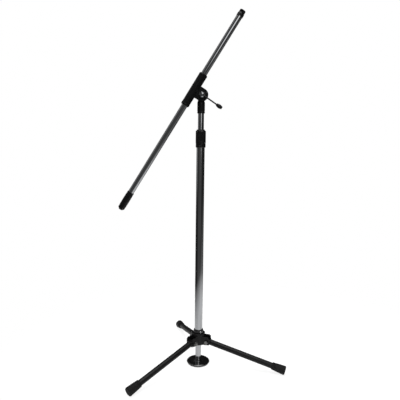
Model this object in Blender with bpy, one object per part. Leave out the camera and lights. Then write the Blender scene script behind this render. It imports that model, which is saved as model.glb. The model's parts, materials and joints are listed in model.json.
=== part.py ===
"""A boom microphone stand: a folding tripod with a round centre foot, a telescopic column and a boom that
tilts, slides and turns in a swivel head.

Metres, +Z up. The origin is on the floor under the column's axis. +X is the side that the boom's upper end
leans to, and the clamp lever is on the -Y side. Every moving piece hangs from an empty on its joint's axis.
"""

import math

import bmesh
import bpy
from mathutils import Matrix, Vector

# Clearances, and the chamfers that most pieces share
GAP = 0.0003
BOLT_GAP = 0.0004
EDGE = 0.0009
SMALL_EDGE = 0.0004

# Tubes: outer radius and wall
MAIN_RADIUS = 0.011
EXTENSION_RADIUS = 0.008
BOOM_RADIUS = 0.008
LEG_RADIUS = 0.008
MAIN_WALL = 0.0012
EXTENSION_WALL = 0.0012
BOOM_WALL = 0.0014
LEG_WALL = 0.0011

# Tripod
LEG_COUNT = 3
FIRST_LEG_AZIMUTH = -14.7
LEG_SLOPE = 14.5
LEG_PIVOT_REACH = 0.0255
LEG_PIVOT_HEIGHT = 0.0681
FOOT_END_RADIUS = 0.0123
FOOT_START_RADIUS = 0.0101
FOOT_LENGTH = 0.0370
FOOT_ROUNDING = 0.0031
FOOT_FLOOR = 0.0057

# The knuckle in each leg's inner end, and the slot that it swings in
ROOT_RADIUS = 0.0083
ROOT_HALF_WIDTH = 0.0082
ROOT_LENGTH = 0.0092
SPIGOT_LENGTH = 0.0194
SLOT_BACK = LEG_PIVOT_REACH - ROOT_RADIUS - GAP
SLOT_HALF_WIDTH = ROOT_HALF_WIDTH + GAP

# The M6 bolt and nut at each leg's pivot
PIVOT_BOLT_RADIUS = 0.003
PIVOT_HEAD_HEIGHT = 0.0038
PIVOT_NUT_HEIGHT = 0.0045
PIVOT_THREAD_SHOWN = 0.0013
ACROSS_FLATS = 0.010

# Hub casting
HUB_RADIUS = 0.0194
HUB_BOTTOM = 0.0590
HUB_TOP = 0.0915
LUG_REACH = 0.0343
LUG_HALF_WIDTH = 0.0123
LUG_BOTTOM = 0.0598
LUG_TOP = 0.0832
LUG_EDGE = 0.0044
HUB_EDGE = 0.0022
COLLAR_RADIUS = 0.0136
COLLAR_TOP = 0.1012
COLLAR_EDGE = 0.0013
TUBE_SEAT = 0.0739

# The round-headed screw that fixes the collar to the main tube
SET_SCREW_AZIMUTH = -64.0
SET_SCREW_HEIGHT = 0.0960
SET_SCREW_RADIUS = 0.0022
SET_SCREW_HEAD_RADIUS = 0.0035
SET_SCREW_HEAD_HEIGHT = 0.0037

# Centre rod and round foot
ROD_RADIUS = 0.008
ROD_TOP = 0.0880
DISC_RADIUS = 0.0324
DISC_BOTTOM = 0.0020
DISC_TOP = 0.0075
DISC_BOSS_TOP = 0.0088
DISC_BOSS_RADIUS = 0.0114
PAD_RADIUS = 0.0299
PAD_TOP = DISC_BOTTOM - GAP
FOOT_SCREW_RADIUS = 0.0034
FOOT_SCREW_HEAD_RADIUS = 0.0070
FOOT_SCREW_HEAD_TOP = 0.0060
FOOT_SCREW_TOP = 0.0264
FOOT_HOLE_RADIUS = FOOT_SCREW_RADIUS + BOLT_GAP

# Column
MAIN_TUBE_TOP = 0.6195
CLUTCH_BOTTOM = 0.6107
CLUTCH_SEAM = 0.6213
CLUTCH_TOP = 0.6582
CLUTCH_RADIUS = 0.0136
CLUTCH_NECK_RADIUS = 0.0119
GRIP_BORE = CLUTCH_NECK_RADIUS + GAP
GRIP_LIP = 0.6499
GRIP_TOP = 0.6556
TOP_RING_RADIUS = 0.0113
COLLET_SEAT = 0.6301
COLLET_MOUTH = 0.6424
COLLET_TOP = 0.6490
COLLET_SPLIT = 0.0014
COLLET_RADIUS = 0.0113
COLLET_WIDE_RADIUS = 0.0104
COLLET_NARROW_RADIUS = 0.0093
EXTENSION_BOTTOM = 0.1408
EXTENSION_TOP = 0.7251
NECK_BOTTOM = 0.7005
NECK_TOP = 0.7295
NECK_RADIUS = 0.0101
BUSH_LENGTH = 0.0264
BUSH_BORE = 0.0062
BUSH_REACH = 0.0044

# Swivel head. Depths are measured along the swivel's axis, positive towards the lever.
SWIVEL_HEIGHT = 0.7480
SWIVEL_SIDE = 0.0018
BASE_PLUG_BOTTOM = 0.7093
BASE_FLANGE = 0.0010
BASE_POST_HALF_WIDTH = 0.0086
BASE_POST_BACK = 0.0075
BASE_DISC_RADIUS = 0.0150
BASE_DISC_BACK = -0.0106
BASE_DISC_FRONT = -0.0009
ARM_RADIUS = 0.0167
ARM_BACK = 0.0009
ARM_FRONT = 0.0123
FRICTION_WASHER_RADIUS = 0.0141
SWIVEL_BOLT_RADIUS = 0.003
SWIVEL_BOLT_END = 0.0211
SWIVEL_HEAD_RADIUS = 0.0066
SWIVEL_HEAD_HEIGHT = 0.0040
LEVER_DEPTH = 0.0246
LEVER_WASHER = 0.0012
LEVER_WASHER_RADIUS = 0.0075
LEVER_HUB_RADIUS = 0.0055
LEVER_FLANGE_RADIUS = 0.0066
LEVER_HUB_ABOVE_ROD = 0.0044
LEVER_ANGLE = 34.0
LEVER_ROD_RADIUS = 0.0019
LEVER_ROD_START = 0.0015
LEVER_ROD_END = 0.0572
KNOB_START = 0.0453
KNOB_END = 0.0625
KNOB_RADIUS = 0.0053
KNOB_NARROWING = 32.0

# Boom, whose stations are measured along it from the swivel, positive towards the microphone
BOOM_LEAN = 31.7
BOOM_OFFSET = 0.0242
SLEEVE_RADIUS = 0.0116
SLEEVE_BORE = 0.0098
SLEEVE_HALF_LENGTH = 0.0458
SLEEVE_EDGE = 0.0013
LINER_FLANGE = 0.0011
LINER_FLANGE_RADIUS = 0.0103
BOOM_LOW_END = -0.3749
BOOM_HIGH_END = 0.2345
WEIGHT_LENGTH = 0.0554
WEIGHT_RADIUS = 0.0097
WEIGHT_TAPER_START = 0.10  # of a half wave, which gives the weight its swell
WEIGHT_TAPER_END = 0.92
WEIGHT_BOTTOM = BOOM_LOW_END + 0.0040
WEIGHT_TOP = BOOM_LOW_END + WEIGHT_LENGTH
CAP_RADIUS = 0.0069
CAP_PIN_RADIUS = 0.0026
CAP_PIN_LENGTH = 0.0057
THREAD_RADIUS = 0.00794
THREAD_LENGTH = 0.009
STUD_FLANGE = 0.0011
STUD_FLANGE_RADIUS = 0.0087
STUD_PLUG_LENGTH = 0.0211
TUBE_LOW_END = WEIGHT_BOTTOM + 0.0079
TUBE_HIGH_END = BOOM_HIGH_END - THREAD_LENGTH - STUD_FLANGE - GAP
TIP_RING_RADIUS = 0.0089
TIP_RING_LENGTH = 0.0067
TIP_RING_BACK = 0.0002

# Facets round a turned piece
FINE = 32
MEDIUM = 24
COARSE = 16


def clear_scene():
    for obj in list(bpy.data.objects):
        bpy.data.objects.remove(obj)


def material(name, colour, roughness, metallic):
    """A Principled material, made once and shared by the pieces of that finish."""
    found = bpy.data.materials.get(name)
    if found:
        return found
    made = bpy.data.materials.new(name)
    made.use_nodes = True
    shader = made.node_tree.nodes["Principled BSDF"]
    shader.inputs["Base Color"].default_value = (*colour, 1.0)
    shader.inputs["Roughness"].default_value = roughness
    shader.inputs["Metallic"].default_value = metallic
    made.diffuse_color = (*colour, 1.0)
    return made


def chrome():
    return material("chrome_plate", (0.62, 0.63, 0.65), 0.08, 1.0)


def zinc():
    return material("zinc_steel", (0.50, 0.50, 0.49), 0.35, 1.0)


def black_steel():
    return material("blackened_steel", (0.045, 0.045, 0.047), 0.38, 1.0)


def black_paint():
    return material("black_powder_coat", (0.018, 0.018, 0.019), 0.45, 0.0)


def black_plastic():
    return material("black_plastic", (0.016, 0.016, 0.017), 0.42, 0.0)


def rubber():
    return material("black_rubber", (0.014, 0.014, 0.014), 0.75, 0.0)


def fibre():
    return material("friction_fibre", (0.10, 0.07, 0.05), 0.85, 0.0)


def empty(name, matrix):
    holder = bpy.data.objects.new(name, None)
    holder.empty_display_size = 0.02
    bpy.context.collection.objects.link(holder)
    holder.matrix_world = matrix
    return holder


def finished(name, mesh_builder, look, parent, matrix=None):
    """Turns a bmesh into a smooth-shaded object of its own, placed in its parent's frame."""
    bmesh.ops.recalc_face_normals(mesh_builder, faces=mesh_builder.faces)
    mesh = bpy.data.meshes.new(name)
    mesh_builder.to_mesh(mesh)
    mesh_builder.free()
    mesh.shade_smooth()
    mesh.set_sharp_from_angle(angle=math.radians(32.0))
    if look:
        mesh.materials.append(look)
    obj = bpy.data.objects.new(name, mesh)
    bpy.context.collection.objects.link(obj)
    obj.parent = parent
    obj.matrix_local = matrix or Matrix.Identity(4)
    return obj


def turned(outline, sides, closed=False):
    """A body of revolution about Z. The outline holds (radius, height) points: it starts and ends on the
    axis, or, when closed, runs round the section of a ring or a tube."""
    builder = bmesh.new()
    rings = []
    for radius, height in outline:
        if radius == 0.0:
            rings.append([builder.verts.new((0.0, 0.0, height))])
            continue
        ring = []
        for step in range(sides):
            angle = math.tau * step / sides
            ring.append(builder.verts.new((radius * math.cos(angle), radius * math.sin(angle), height)))
        rings.append(ring)
    neighbours = list(zip(rings, rings[1:]))
    if closed:
        neighbours.append((rings[-1], rings[0]))
    for one, other in neighbours:
        for step in range(sides):
            after = (step + 1) % sides
            corners = [one[step % len(one)], one[after % len(one)]]
            corners += [other[after % len(other)], other[step % len(other)]]
            face = list(dict.fromkeys(corners))
            if len(face) > 2:
                builder.faces.new(face)
    return builder


def extruded(outline, half_width):
    """A flat outline of (x, z) points given a width along Y, the same to each side."""
    builder = bmesh.new()
    near = [builder.verts.new((x, -half_width, z)) for x, z in outline]
    far = [builder.verts.new((x, half_width, z)) for x, z in outline]
    builder.faces.new(near)
    builder.faces.new(list(reversed(far)))
    for index in range(len(outline)):
        after = (index + 1) % len(outline)
        builder.faces.new((near[index], far[index], far[after], near[after]))
    return builder


def box(low, high):
    """A box between two opposite corners."""
    size = Vector(high) - Vector(low)
    centre = (Vector(high) + Vector(low)) / 2
    builder = bmesh.new()
    place = Matrix.Translation(centre) @ Matrix.Diagonal((*size, 1.0))
    bmesh.ops.create_cube(builder, size=1.0, matrix=place)
    return builder


def tool_group(name, tools):
    """A collection of shapes that add to or cut another object, which are not pieces themselves."""
    group = bpy.data.collections.new(name)
    bpy.context.scene.collection.children.link(group)
    for tool in tools:
        for home in list(tool.users_collection):
            home.objects.unlink(tool)
        group.objects.link(tool)
        tool.hide_render = True
        tool.display_type = "WIRE"
    return group


def combine(obj, operation, tools):
    """Joins a set of tools to the object, or cuts them out of it."""
    change = obj.modifiers.new(operation.lower(), "BOOLEAN")
    change.operation = operation
    change.operand_type = "COLLECTION"
    change.collection = tool_group(f"{obj.name}_{operation.lower()}", tools)
    change.solver = "EXACT"


def arc(centre, radius, start, end, steps):
    """Points round a circle in an outline's own plane, from one angle to another in degrees."""
    points = []
    for step in range(steps + 1):
        angle = math.radians(start + (end - start) * step / steps)
        points.append((centre[0] + radius * math.cos(angle), centre[1] + radius * math.sin(angle)))
    return points


def tube_outline(radius, wall, low, high):
    return [(radius - wall, low), (radius, low), (radius, high), (radius - wall, high)]


def ring_outline(inner, outer, low, high, edge):
    """A ring's section with both of its outer edges chamfered."""
    rim = [(outer - edge, low), (outer, low + edge), (outer, high - edge), (outer - edge, high)]
    return [(inner, low), *rim, (inner, high)]


def pin_outline(radius, low, high, edge):
    """A solid pin's half section with both ends chamfered."""
    side = [(radius - edge, low), (radius, low + edge), (radius, high - edge), (radius - edge, high)]
    return [(0.0, low), *side, (0.0, high)]


def hexagon(across_flats, low, high):
    """A six-sided head or nut, its flats facing along Y."""
    radius = across_flats / math.sqrt(3.0)
    return turned([(0.0, low), (radius, low), (radius, high), (0.0, high)], 6)


# Frames of the joints


def leg_frame(index):
    """At a leg's pivot: X runs out along the leg, Y is the pivot's axis and Z points up across the leg."""
    azimuth = math.radians(FIRST_LEG_AZIMUTH + index * 360.0 / LEG_COUNT)
    turn = Matrix.Rotation(azimuth, 4, "Z")
    place = Matrix.Translation((LEG_PIVOT_REACH, 0.0, LEG_PIVOT_HEIGHT))
    return turn @ place @ Matrix.Rotation(math.radians(LEG_SLOPE), 4, "Y")


def lug_frame(index):
    """On the column's axis, with X pointing at a leg's pivot."""
    azimuth = math.radians(FIRST_LEG_AZIMUTH + index * 360.0 / LEG_COUNT)
    return Matrix.Rotation(azimuth, 4, "Z")


ALONG_X = Matrix.Rotation(math.radians(90.0), 4, "Y")
ALONG_MINUS_Y = Matrix.Rotation(math.radians(90.0), 4, "X")
ALONG_Y = Matrix.Rotation(math.radians(-90.0), 4, "X")


def swivel_frame():
    """At the swivel: Z runs along its axis towards the lever, X stays to the right and Y points up."""
    return Matrix.Translation((SWIVEL_SIDE, 0.0, SWIVEL_HEIGHT)) @ ALONG_MINUS_Y


def boom_frame():
    """On the boom's axis beside the swivel: Z runs along the boom and Y is parallel to the swivel's axis."""
    lean = Matrix.Rotation(math.radians(BOOM_LEAN), 4, "Y")
    middle_of_arm = -(ARM_BACK + ARM_FRONT) / 2
    across = Matrix.Translation((-BOOM_OFFSET, middle_of_arm, 0.0))
    return Matrix.Translation((SWIVEL_SIDE, 0.0, SWIVEL_HEIGHT)) @ lean @ across


# Tripod


def hub_lug(index):
    """One clevis block, before its slot is cut."""
    outline = [
        (0.0, LUG_BOTTOM),
        (LUG_REACH - LUG_EDGE, LUG_BOTTOM),
        (LUG_REACH, LUG_BOTTOM + LUG_EDGE),
        (LUG_REACH, LUG_TOP - LUG_EDGE),
        (LUG_REACH - LUG_EDGE, LUG_TOP),
        (0.0, LUG_TOP),
    ]
    return finished(f"lug_{index}", extruded(outline, LUG_HALF_WIDTH), None, None, lug_frame(index))


def hub_cutters(index):
    """The slot that a leg's root swings in, and the hole for its pivot bolt."""
    beyond = LUG_TOP - LUG_BOTTOM
    slot = box(
        (SLOT_BACK, -SLOT_HALF_WIDTH, LUG_BOTTOM - beyond),
        (LUG_REACH + beyond, SLOT_HALF_WIDTH, LUG_TOP + beyond),
    )
    through = LUG_HALF_WIDTH + EDGE
    hole = turned(pin_outline(PIVOT_BOLT_RADIUS + BOLT_GAP, -through, through, SMALL_EDGE), COARSE)
    place = Matrix.Translation((LEG_PIVOT_REACH, 0.0, LEG_PIVOT_HEIGHT)) @ ALONG_Y
    frame = lug_frame(index)
    return [
        finished(f"slot_{index}", slot, None, None, frame),
        finished(f"bolt_hole_{index}", hole, None, None, frame @ place),
    ]


def set_screw_frame():
    """At the collar's screw: Z runs out of the collar."""
    turn = Matrix.Rotation(math.radians(SET_SCREW_AZIMUTH), 4, "Z")
    return turn @ Matrix.Translation((0.0, 0.0, SET_SCREW_HEIGHT)) @ ALONG_X


def hub_body(base):
    outline = [
        (0.0, HUB_BOTTOM),
        (HUB_RADIUS - HUB_EDGE, HUB_BOTTOM),
        (HUB_RADIUS, HUB_BOTTOM + HUB_EDGE),
        (HUB_RADIUS, HUB_TOP - HUB_EDGE),
        (HUB_RADIUS - HUB_EDGE, HUB_TOP),
        (0.0, HUB_TOP),
    ]
    hub = finished("hub_body", turned(outline, FINE), black_paint(), base)
    combine(hub, "UNION", [hub_lug(index) for index in range(LEG_COUNT)])
    rod_bore = ROD_RADIUS + GAP
    tube_bore = MAIN_RADIUS + GAP
    below, above = HUB_BOTTOM - EDGE, HUB_TOP + EDGE
    bore = [(0.0, below), (rod_bore, below), (rod_bore, TUBE_SEAT), (tube_bore, TUBE_SEAT)]
    bore += [(tube_bore, above), (0.0, above)]
    cutters = [finished("hub_bore", turned(bore, FINE), None, None)]
    for index in range(LEG_COUNT):
        cutters += hub_cutters(index)
    combine(hub, "DIFFERENCE", cutters)


def hub_collar(base):
    outline = ring_outline(MAIN_RADIUS + GAP, COLLAR_RADIUS, HUB_TOP + GAP, COLLAR_TOP, COLLAR_EDGE)
    collar = finished("hub_collar", turned(outline, FINE, closed=True), black_plastic(), base)
    inside, outside = MAIN_RADIUS - MAIN_WALL, COLLAR_RADIUS + EDGE
    hole = turned(pin_outline(SET_SCREW_RADIUS + GAP, inside, outside, SMALL_EDGE), COARSE)
    combine(collar, "DIFFERENCE", [finished("set_screw_hole", hole, None, None, set_screw_frame())])


def hub_set_screw(base):
    tip = MAIN_RADIUS + GAP
    seat = COLLAR_RADIUS + GAP
    top = seat + SET_SCREW_HEAD_HEIGHT
    outline = [(0.0, tip), (SET_SCREW_RADIUS, tip), (SET_SCREW_RADIUS, seat), (SET_SCREW_HEAD_RADIUS, seat)]
    outline += [(SET_SCREW_HEAD_RADIUS, top - EDGE), (SET_SCREW_HEAD_RADIUS - EDGE, top), (0.0, top)]
    screw = turned(outline, COARSE)
    finished("hub_set_screw", screw, chrome(), base, set_screw_frame())


def pivot_bolt(index, base):
    """A hexagon bolt through the clevis, its head on the side that faces -Y of the leg's frame."""
    place = leg_frame(index) @ ALONG_Y
    seat = LUG_HALF_WIDTH + GAP
    end = seat + PIVOT_NUT_HEIGHT + PIVOT_THREAD_SHOWN
    head = hexagon(ACROSS_FLATS, -seat - PIVOT_HEAD_HEIGHT, -seat)
    bolt = finished(f"leg_pivot_bolt_{index + 1}", head, zinc(), base, place)
    shank = turned(pin_outline(PIVOT_BOLT_RADIUS, -seat - PIVOT_HEAD_HEIGHT / 2, end, EDGE), COARSE)
    combine(bolt, "UNION", [finished(f"bolt_shank_{index}", shank, None, base, place)])


def pivot_nut(index, base):
    place = leg_frame(index) @ ALONG_Y
    low = LUG_HALF_WIDTH + GAP
    high = low + PIVOT_NUT_HEIGHT
    nut = finished(f"leg_pivot_nut_{index + 1}", hexagon(ACROSS_FLATS, low, high), zinc(), base, place)
    bore = turned(pin_outline(PIVOT_BOLT_RADIUS + GAP, low - EDGE, high + EDGE, SMALL_EDGE), COARSE)
    combine(nut, "DIFFERENCE", [finished(f"nut_bore_{index}", bore, None, base, place)])


def leg_end():
    """How far along a leg its foot ends, from the height that puts the foot's rim on the floor."""
    slope = math.radians(LEG_SLOPE)
    drop = LEG_PIVOT_HEIGHT - FOOT_ROUNDING - (FOOT_END_RADIUS - FOOT_ROUNDING) * math.cos(slope)
    return drop / math.sin(slope) + FOOT_ROUNDING


def leg_root(index, leg):
    """The knuckle in a leg's inner end. Its heel bears on the back of the slot, which stops the leg."""
    slope = math.radians(LEG_SLOPE)
    heel_top = (-ROOT_RADIUS * math.cos(slope), -ROOT_RADIUS * math.sin(slope))
    heel_drop = (ROOT_HALF_WIDTH + heel_top[1]) / math.cos(slope)
    heel_bottom = (heel_top[0] + heel_drop * math.sin(slope), -ROOT_HALF_WIDTH)
    outline = [heel_bottom, heel_top]
    outline += arc((0.0, 0.0), ROOT_RADIUS, 180.0 + LEG_SLOPE, 90.0, 8)[1:]
    outline += [(ROOT_LENGTH, ROOT_RADIUS), (ROOT_LENGTH, -ROOT_HALF_WIDTH)]
    root = finished(f"leg_root_{index + 1}", extruded(outline, ROOT_HALF_WIDTH), black_steel(), leg)
    radius = LEG_RADIUS - LEG_WALL - GAP
    inside = ROOT_LENGTH - 3 * EDGE
    spigot = turned(pin_outline(radius, inside, ROOT_LENGTH + SPIGOT_LENGTH, EDGE), MEDIUM)
    combine(root, "UNION", [finished(f"spigot_{index}", spigot, None, leg, ALONG_X)])
    through = ROOT_HALF_WIDTH + EDGE
    bore = turned(pin_outline(PIVOT_BOLT_RADIUS + BOLT_GAP, -through, through, SMALL_EDGE), COARSE)
    combine(root, "DIFFERENCE", [finished(f"root_bore_{index}", bore, None, leg, ALONG_Y)])


def leg_tube(index, leg):
    end = leg_end() - FOOT_FLOOR - GAP
    outline = tube_outline(LEG_RADIUS, LEG_WALL, ROOT_LENGTH + GAP, end)
    finished(f"leg_tube_{index + 1}", turned(outline, MEDIUM, closed=True), black_paint(), leg, ALONG_X)


def rubber_foot(index, leg):
    """A flared cup over the tube's outer end, with a rounded rim that stands on the floor."""
    end = leg_end()
    start = end - FOOT_LENGTH
    bore = LEG_RADIUS + GAP
    centre = (FOOT_END_RADIUS - FOOT_ROUNDING, end - FOOT_ROUNDING)
    on_floor = arc(centre, FOOT_ROUNDING, 0.0, LEG_SLOPE, 1)
    to_end = arc(centre, FOOT_ROUNDING, LEG_SLOPE, 90.0, 3)[1:]
    outline = [(0.0, end - FOOT_FLOOR), (bore, end - FOOT_FLOOR), (bore, start)]
    outline += [(FOOT_START_RADIUS - EDGE, start), (FOOT_START_RADIUS, start + EDGE)]
    outline += on_floor + to_end + [(0.0, end)]
    finished(f"rubber_foot_{index + 1}", turned(outline, MEDIUM), rubber(), leg, ALONG_X)


def centre_rod(base):
    """The chromed rod from the hub down to the round foot, drilled from below for the foot's screw."""
    bottom = DISC_BOSS_TOP + GAP
    drilled = FOOT_SCREW_TOP + FOOT_SCREW_RADIUS
    outline = [(0.0, drilled), (FOOT_HOLE_RADIUS, drilled), (FOOT_HOLE_RADIUS, bottom), (ROD_RADIUS, bottom)]
    outline += [(ROD_RADIUS, ROD_TOP - EDGE), (ROD_RADIUS - EDGE, ROD_TOP), (0.0, ROD_TOP)]
    finished("centre_rod", turned(outline, MEDIUM), chrome(), base)


def round_foot(base):
    """A flat iron disc with a bevelled rim, countersunk from below."""
    outline = [
        (FOOT_HOLE_RADIUS, FOOT_SCREW_HEAD_TOP + GAP),
        (FOOT_SCREW_HEAD_RADIUS + 2 * GAP, DISC_BOTTOM),
        (DISC_RADIUS - 3 * EDGE, DISC_BOTTOM),
        (DISC_RADIUS - SMALL_EDGE, DISC_BOTTOM + 2 * EDGE),
        (DISC_RADIUS, DISC_BOTTOM + 3 * EDGE),
        (DISC_RADIUS - SMALL_EDGE, DISC_TOP - EDGE),
        (DISC_RADIUS - 2 * EDGE, DISC_TOP),
        (DISC_BOSS_RADIUS, DISC_TOP),
        (DISC_BOSS_RADIUS - EDGE, DISC_BOSS_TOP),
        (FOOT_HOLE_RADIUS, DISC_BOSS_TOP),
    ]
    finished("round_foot", turned(outline, FINE, closed=True), black_paint(), base)


def round_foot_screw(base):
    """The countersunk screw that holds the foot to its rod from below."""
    bottom = DISC_BOTTOM + GAP
    outline = [(0.0, bottom), (FOOT_SCREW_HEAD_RADIUS, bottom), (FOOT_SCREW_RADIUS, FOOT_SCREW_HEAD_TOP)]
    outline += [(FOOT_SCREW_RADIUS, FOOT_SCREW_TOP - EDGE), (FOOT_SCREW_RADIUS - EDGE, FOOT_SCREW_TOP)]
    outline.append((0.0, FOOT_SCREW_TOP))
    finished("round_foot_screw", turned(outline, COARSE), zinc(), base)


def round_foot_pad(base):
    outline = [(0.0, 0.0), (PAD_RADIUS - EDGE, 0.0), (PAD_RADIUS, EDGE), (PAD_RADIUS, PAD_TOP)]
    outline.append((0.0, PAD_TOP))
    finished("round_foot_pad", turned(outline, FINE), rubber(), base)


def tripod(base):
    hub_body(base)
    hub_collar(base)
    hub_set_screw(base)
    centre_rod(base)
    round_foot(base)
    round_foot_screw(base)
    round_foot_pad(base)
    for index in range(LEG_COUNT):
        pivot_bolt(index, base)
        pivot_nut(index, base)
        leg = empty(f"leg_fold_axis_{index + 1}", leg_frame(index))
        leg_root(index, leg)
        leg_tube(index, leg)
        rubber_foot(index, leg)


# Column


def main_tube(base):
    outline = tube_outline(MAIN_RADIUS, MAIN_WALL, TUBE_SEAT + GAP, MAIN_TUBE_TOP)
    finished("main_tube", turned(outline, FINE, closed=True), chrome(), base)


def clutch_body(base):
    """The fixed half of the clutch: it caps the main tube and holds the collet's taper."""
    bore = MAIN_RADIUS + GAP
    outer = CLUTCH_RADIUS - GAP
    outline = [
        (bore, CLUTCH_BOTTOM),
        (outer - EDGE, CLUTCH_BOTTOM),
        (outer, CLUTCH_BOTTOM + EDGE),
        (outer, CLUTCH_SEAM),
        (CLUTCH_NECK_RADIUS, CLUTCH_SEAM),
        (CLUTCH_NECK_RADIUS, COLLET_MOUTH),
        (COLLET_WIDE_RADIUS + GAP, COLLET_MOUTH),
        (COLLET_NARROW_RADIUS + GAP, COLLET_SEAT),
        (COLLET_NARROW_RADIUS + GAP, MAIN_TUBE_TOP + GAP),
        (bore, MAIN_TUBE_TOP + GAP),
    ]
    finished("clutch_body", turned(outline, FINE, closed=True), black_plastic(), base)


def clutch_grip(twist):
    """The sleeve that is twisted to squeeze the collet."""
    low = CLUTCH_SEAM + GAP
    lip_bore = EXTENSION_RADIUS + BOLT_GAP
    outline = [
        (GRIP_BORE, low),
        (CLUTCH_RADIUS - SMALL_EDGE, low),
        (CLUTCH_RADIUS, low + SMALL_EDGE),
        (CLUTCH_RADIUS, GRIP_TOP - 2 * EDGE),
        (CLUTCH_RADIUS - 2 * EDGE, GRIP_TOP),
        (lip_bore, GRIP_TOP),
        (lip_bore, GRIP_LIP),
        (GRIP_BORE, GRIP_LIP),
    ]
    finished("clutch_grip", turned(outline, FINE, closed=True), black_plastic(), twist)


def clutch_top_ring(twist):
    bore = EXTENSION_RADIUS + BOLT_GAP
    outline = ring_outline(bore, TOP_RING_RADIUS, GRIP_TOP + GAP, CLUTCH_TOP, EDGE)
    finished("clutch_top_ring", turned(outline, MEDIUM, closed=True), black_plastic(), twist)


def clutch_collet(turn):
    """The split cone that grips the extension tube."""
    bore = EXTENSION_RADIUS + GAP
    outline = [
        (bore, COLLET_SEAT + EDGE),
        (COLLET_NARROW_RADIUS, COLLET_SEAT + EDGE),
        (COLLET_WIDE_RADIUS, COLLET_MOUTH),
        (COLLET_RADIUS, COLLET_MOUTH + GAP),
        (COLLET_RADIUS, COLLET_TOP),
        (bore, COLLET_TOP),
    ]
    collet = finished("clutch_collet", turned(outline, MEDIUM, closed=True), black_plastic(), turn)
    half = COLLET_SPLIT / 2
    split = box((0.0, -half, COLLET_SEAT), (COLLET_RADIUS + EDGE, half, COLLET_TOP + EDGE))
    combine(collet, "DIFFERENCE", [finished("collet_split", split, None, turn)])


def extension_tube(slide):
    outline = tube_outline(EXTENSION_RADIUS, EXTENSION_WALL, EXTENSION_BOTTOM, EXTENSION_TOP)
    finished("extension_tube", turned(outline, MEDIUM, closed=True), chrome(), slide)


def guide_bush(slide):
    """The bush on the extension tube's lower end, which slides in the main tube."""
    outer = MAIN_RADIUS - MAIN_WALL - GAP
    bottom = EXTENSION_BOTTOM - BUSH_REACH
    outline = [
        (BUSH_BORE, bottom),
        (outer - EDGE, bottom),
        (outer, bottom + EDGE),
        (outer, bottom + BUSH_LENGTH),
        (EXTENSION_RADIUS + GAP, bottom + BUSH_LENGTH),
        (EXTENSION_RADIUS + GAP, EXTENSION_BOTTOM - GAP),
        (BUSH_BORE, EXTENSION_BOTTOM - GAP),
    ]
    finished("guide_bush", turned(outline, MEDIUM, closed=True), black_plastic(), slide)


def neck_socket(slide):
    bore = EXTENSION_RADIUS + GAP
    outline = ring_outline(bore, NECK_RADIUS, NECK_BOTTOM, NECK_TOP, EDGE)
    finished("neck_socket", turned(outline, MEDIUM, closed=True), black_paint(), slide)


def column(base, twist, turn, slide):
    main_tube(base)
    clutch_body(base)
    clutch_grip(twist)
    clutch_top_ring(twist)
    clutch_collet(turn)
    extension_tube(slide)
    guide_bush(slide)
    neck_socket(slide)


# Swivel head


def swivel_hole(low, high):
    """The cutter for the bolt's hole through one half of the swivel."""
    return turned(pin_outline(SWIVEL_BOLT_RADIUS + BOLT_GAP, low, high, SMALL_EDGE), COARSE)


def swivel_base(slide, swivel):
    """The fixed half: a stem in the neck, a flange on it, and a disc behind the boom's arm."""
    plug = EXTENSION_RADIUS - EXTENSION_WALL - GAP
    flange_low = NECK_TOP + GAP
    flange_high = flange_low + BASE_FLANGE
    bottom = BASE_PLUG_BOTTOM
    outline = [(0.0, bottom), (plug - EDGE, bottom), (plug, bottom + EDGE), (plug, flange_low)]
    outline += [(NECK_RADIUS, flange_low), (NECK_RADIUS, flange_high), (0.0, flange_high)]
    base = finished("swivel_base", turned(outline, MEDIUM), black_paint(), slide)
    disc = turned(pin_outline(BASE_DISC_RADIUS, BASE_DISC_BACK, BASE_DISC_FRONT, EDGE), FINE)
    side = BASE_POST_HALF_WIDTH
    post = box((-side, -BASE_DISC_FRONT, flange_low), (side, BASE_POST_BACK, SWIVEL_HEIGHT))
    tools = [finished("base_disc", disc, None, swivel), finished("base_post", post, None, slide)]
    combine(base, "UNION", tools)
    hole = swivel_hole(BASE_DISC_BACK - EDGE, BASE_DISC_FRONT + EDGE)
    combine(base, "DIFFERENCE", [finished("base_hole", hole, None, swivel)])


def friction_washer(swivel):
    bore = SWIVEL_BOLT_RADIUS + BOLT_GAP
    half = ARM_BACK - GAP
    outline = ring_outline(bore, FRICTION_WASHER_RADIUS, -half, half, SMALL_EDGE / 2)
    finished("friction_washer", turned(outline, MEDIUM, closed=True), fibre(), swivel)


def swivel_bolt(swivel):
    """The bolt that the two halves turn on: a domed head behind, and its thread in the lever's hub."""
    seat = BASE_DISC_BACK - GAP
    outline = []
    for angle in (0.0, 30.0, 60.0, 90.0):
        radius = SWIVEL_HEAD_RADIUS * math.sin(math.radians(angle))
        outline.append((radius, seat - SWIVEL_HEAD_HEIGHT * math.cos(math.radians(angle))))
    outline += [(SWIVEL_BOLT_RADIUS, seat), (SWIVEL_BOLT_RADIUS, SWIVEL_BOLT_END - EDGE)]
    outline += [(SWIVEL_BOLT_RADIUS - SMALL_EDGE, SWIVEL_BOLT_END), (0.0, SWIVEL_BOLT_END)]
    finished("swivel_bolt", turned(outline, COARSE), zinc(), swivel)


def arm_outline():
    """The boom's arm seen along the swivel's axis, in the boom's frame: straight sides and a round end."""
    end = arc((BOOM_OFFSET, 0.0), ARM_RADIUS, -90.0, 90.0, 14)
    return [(0.0, -ARM_RADIUS), *end, (0.0, ARM_RADIUS)]


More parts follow.
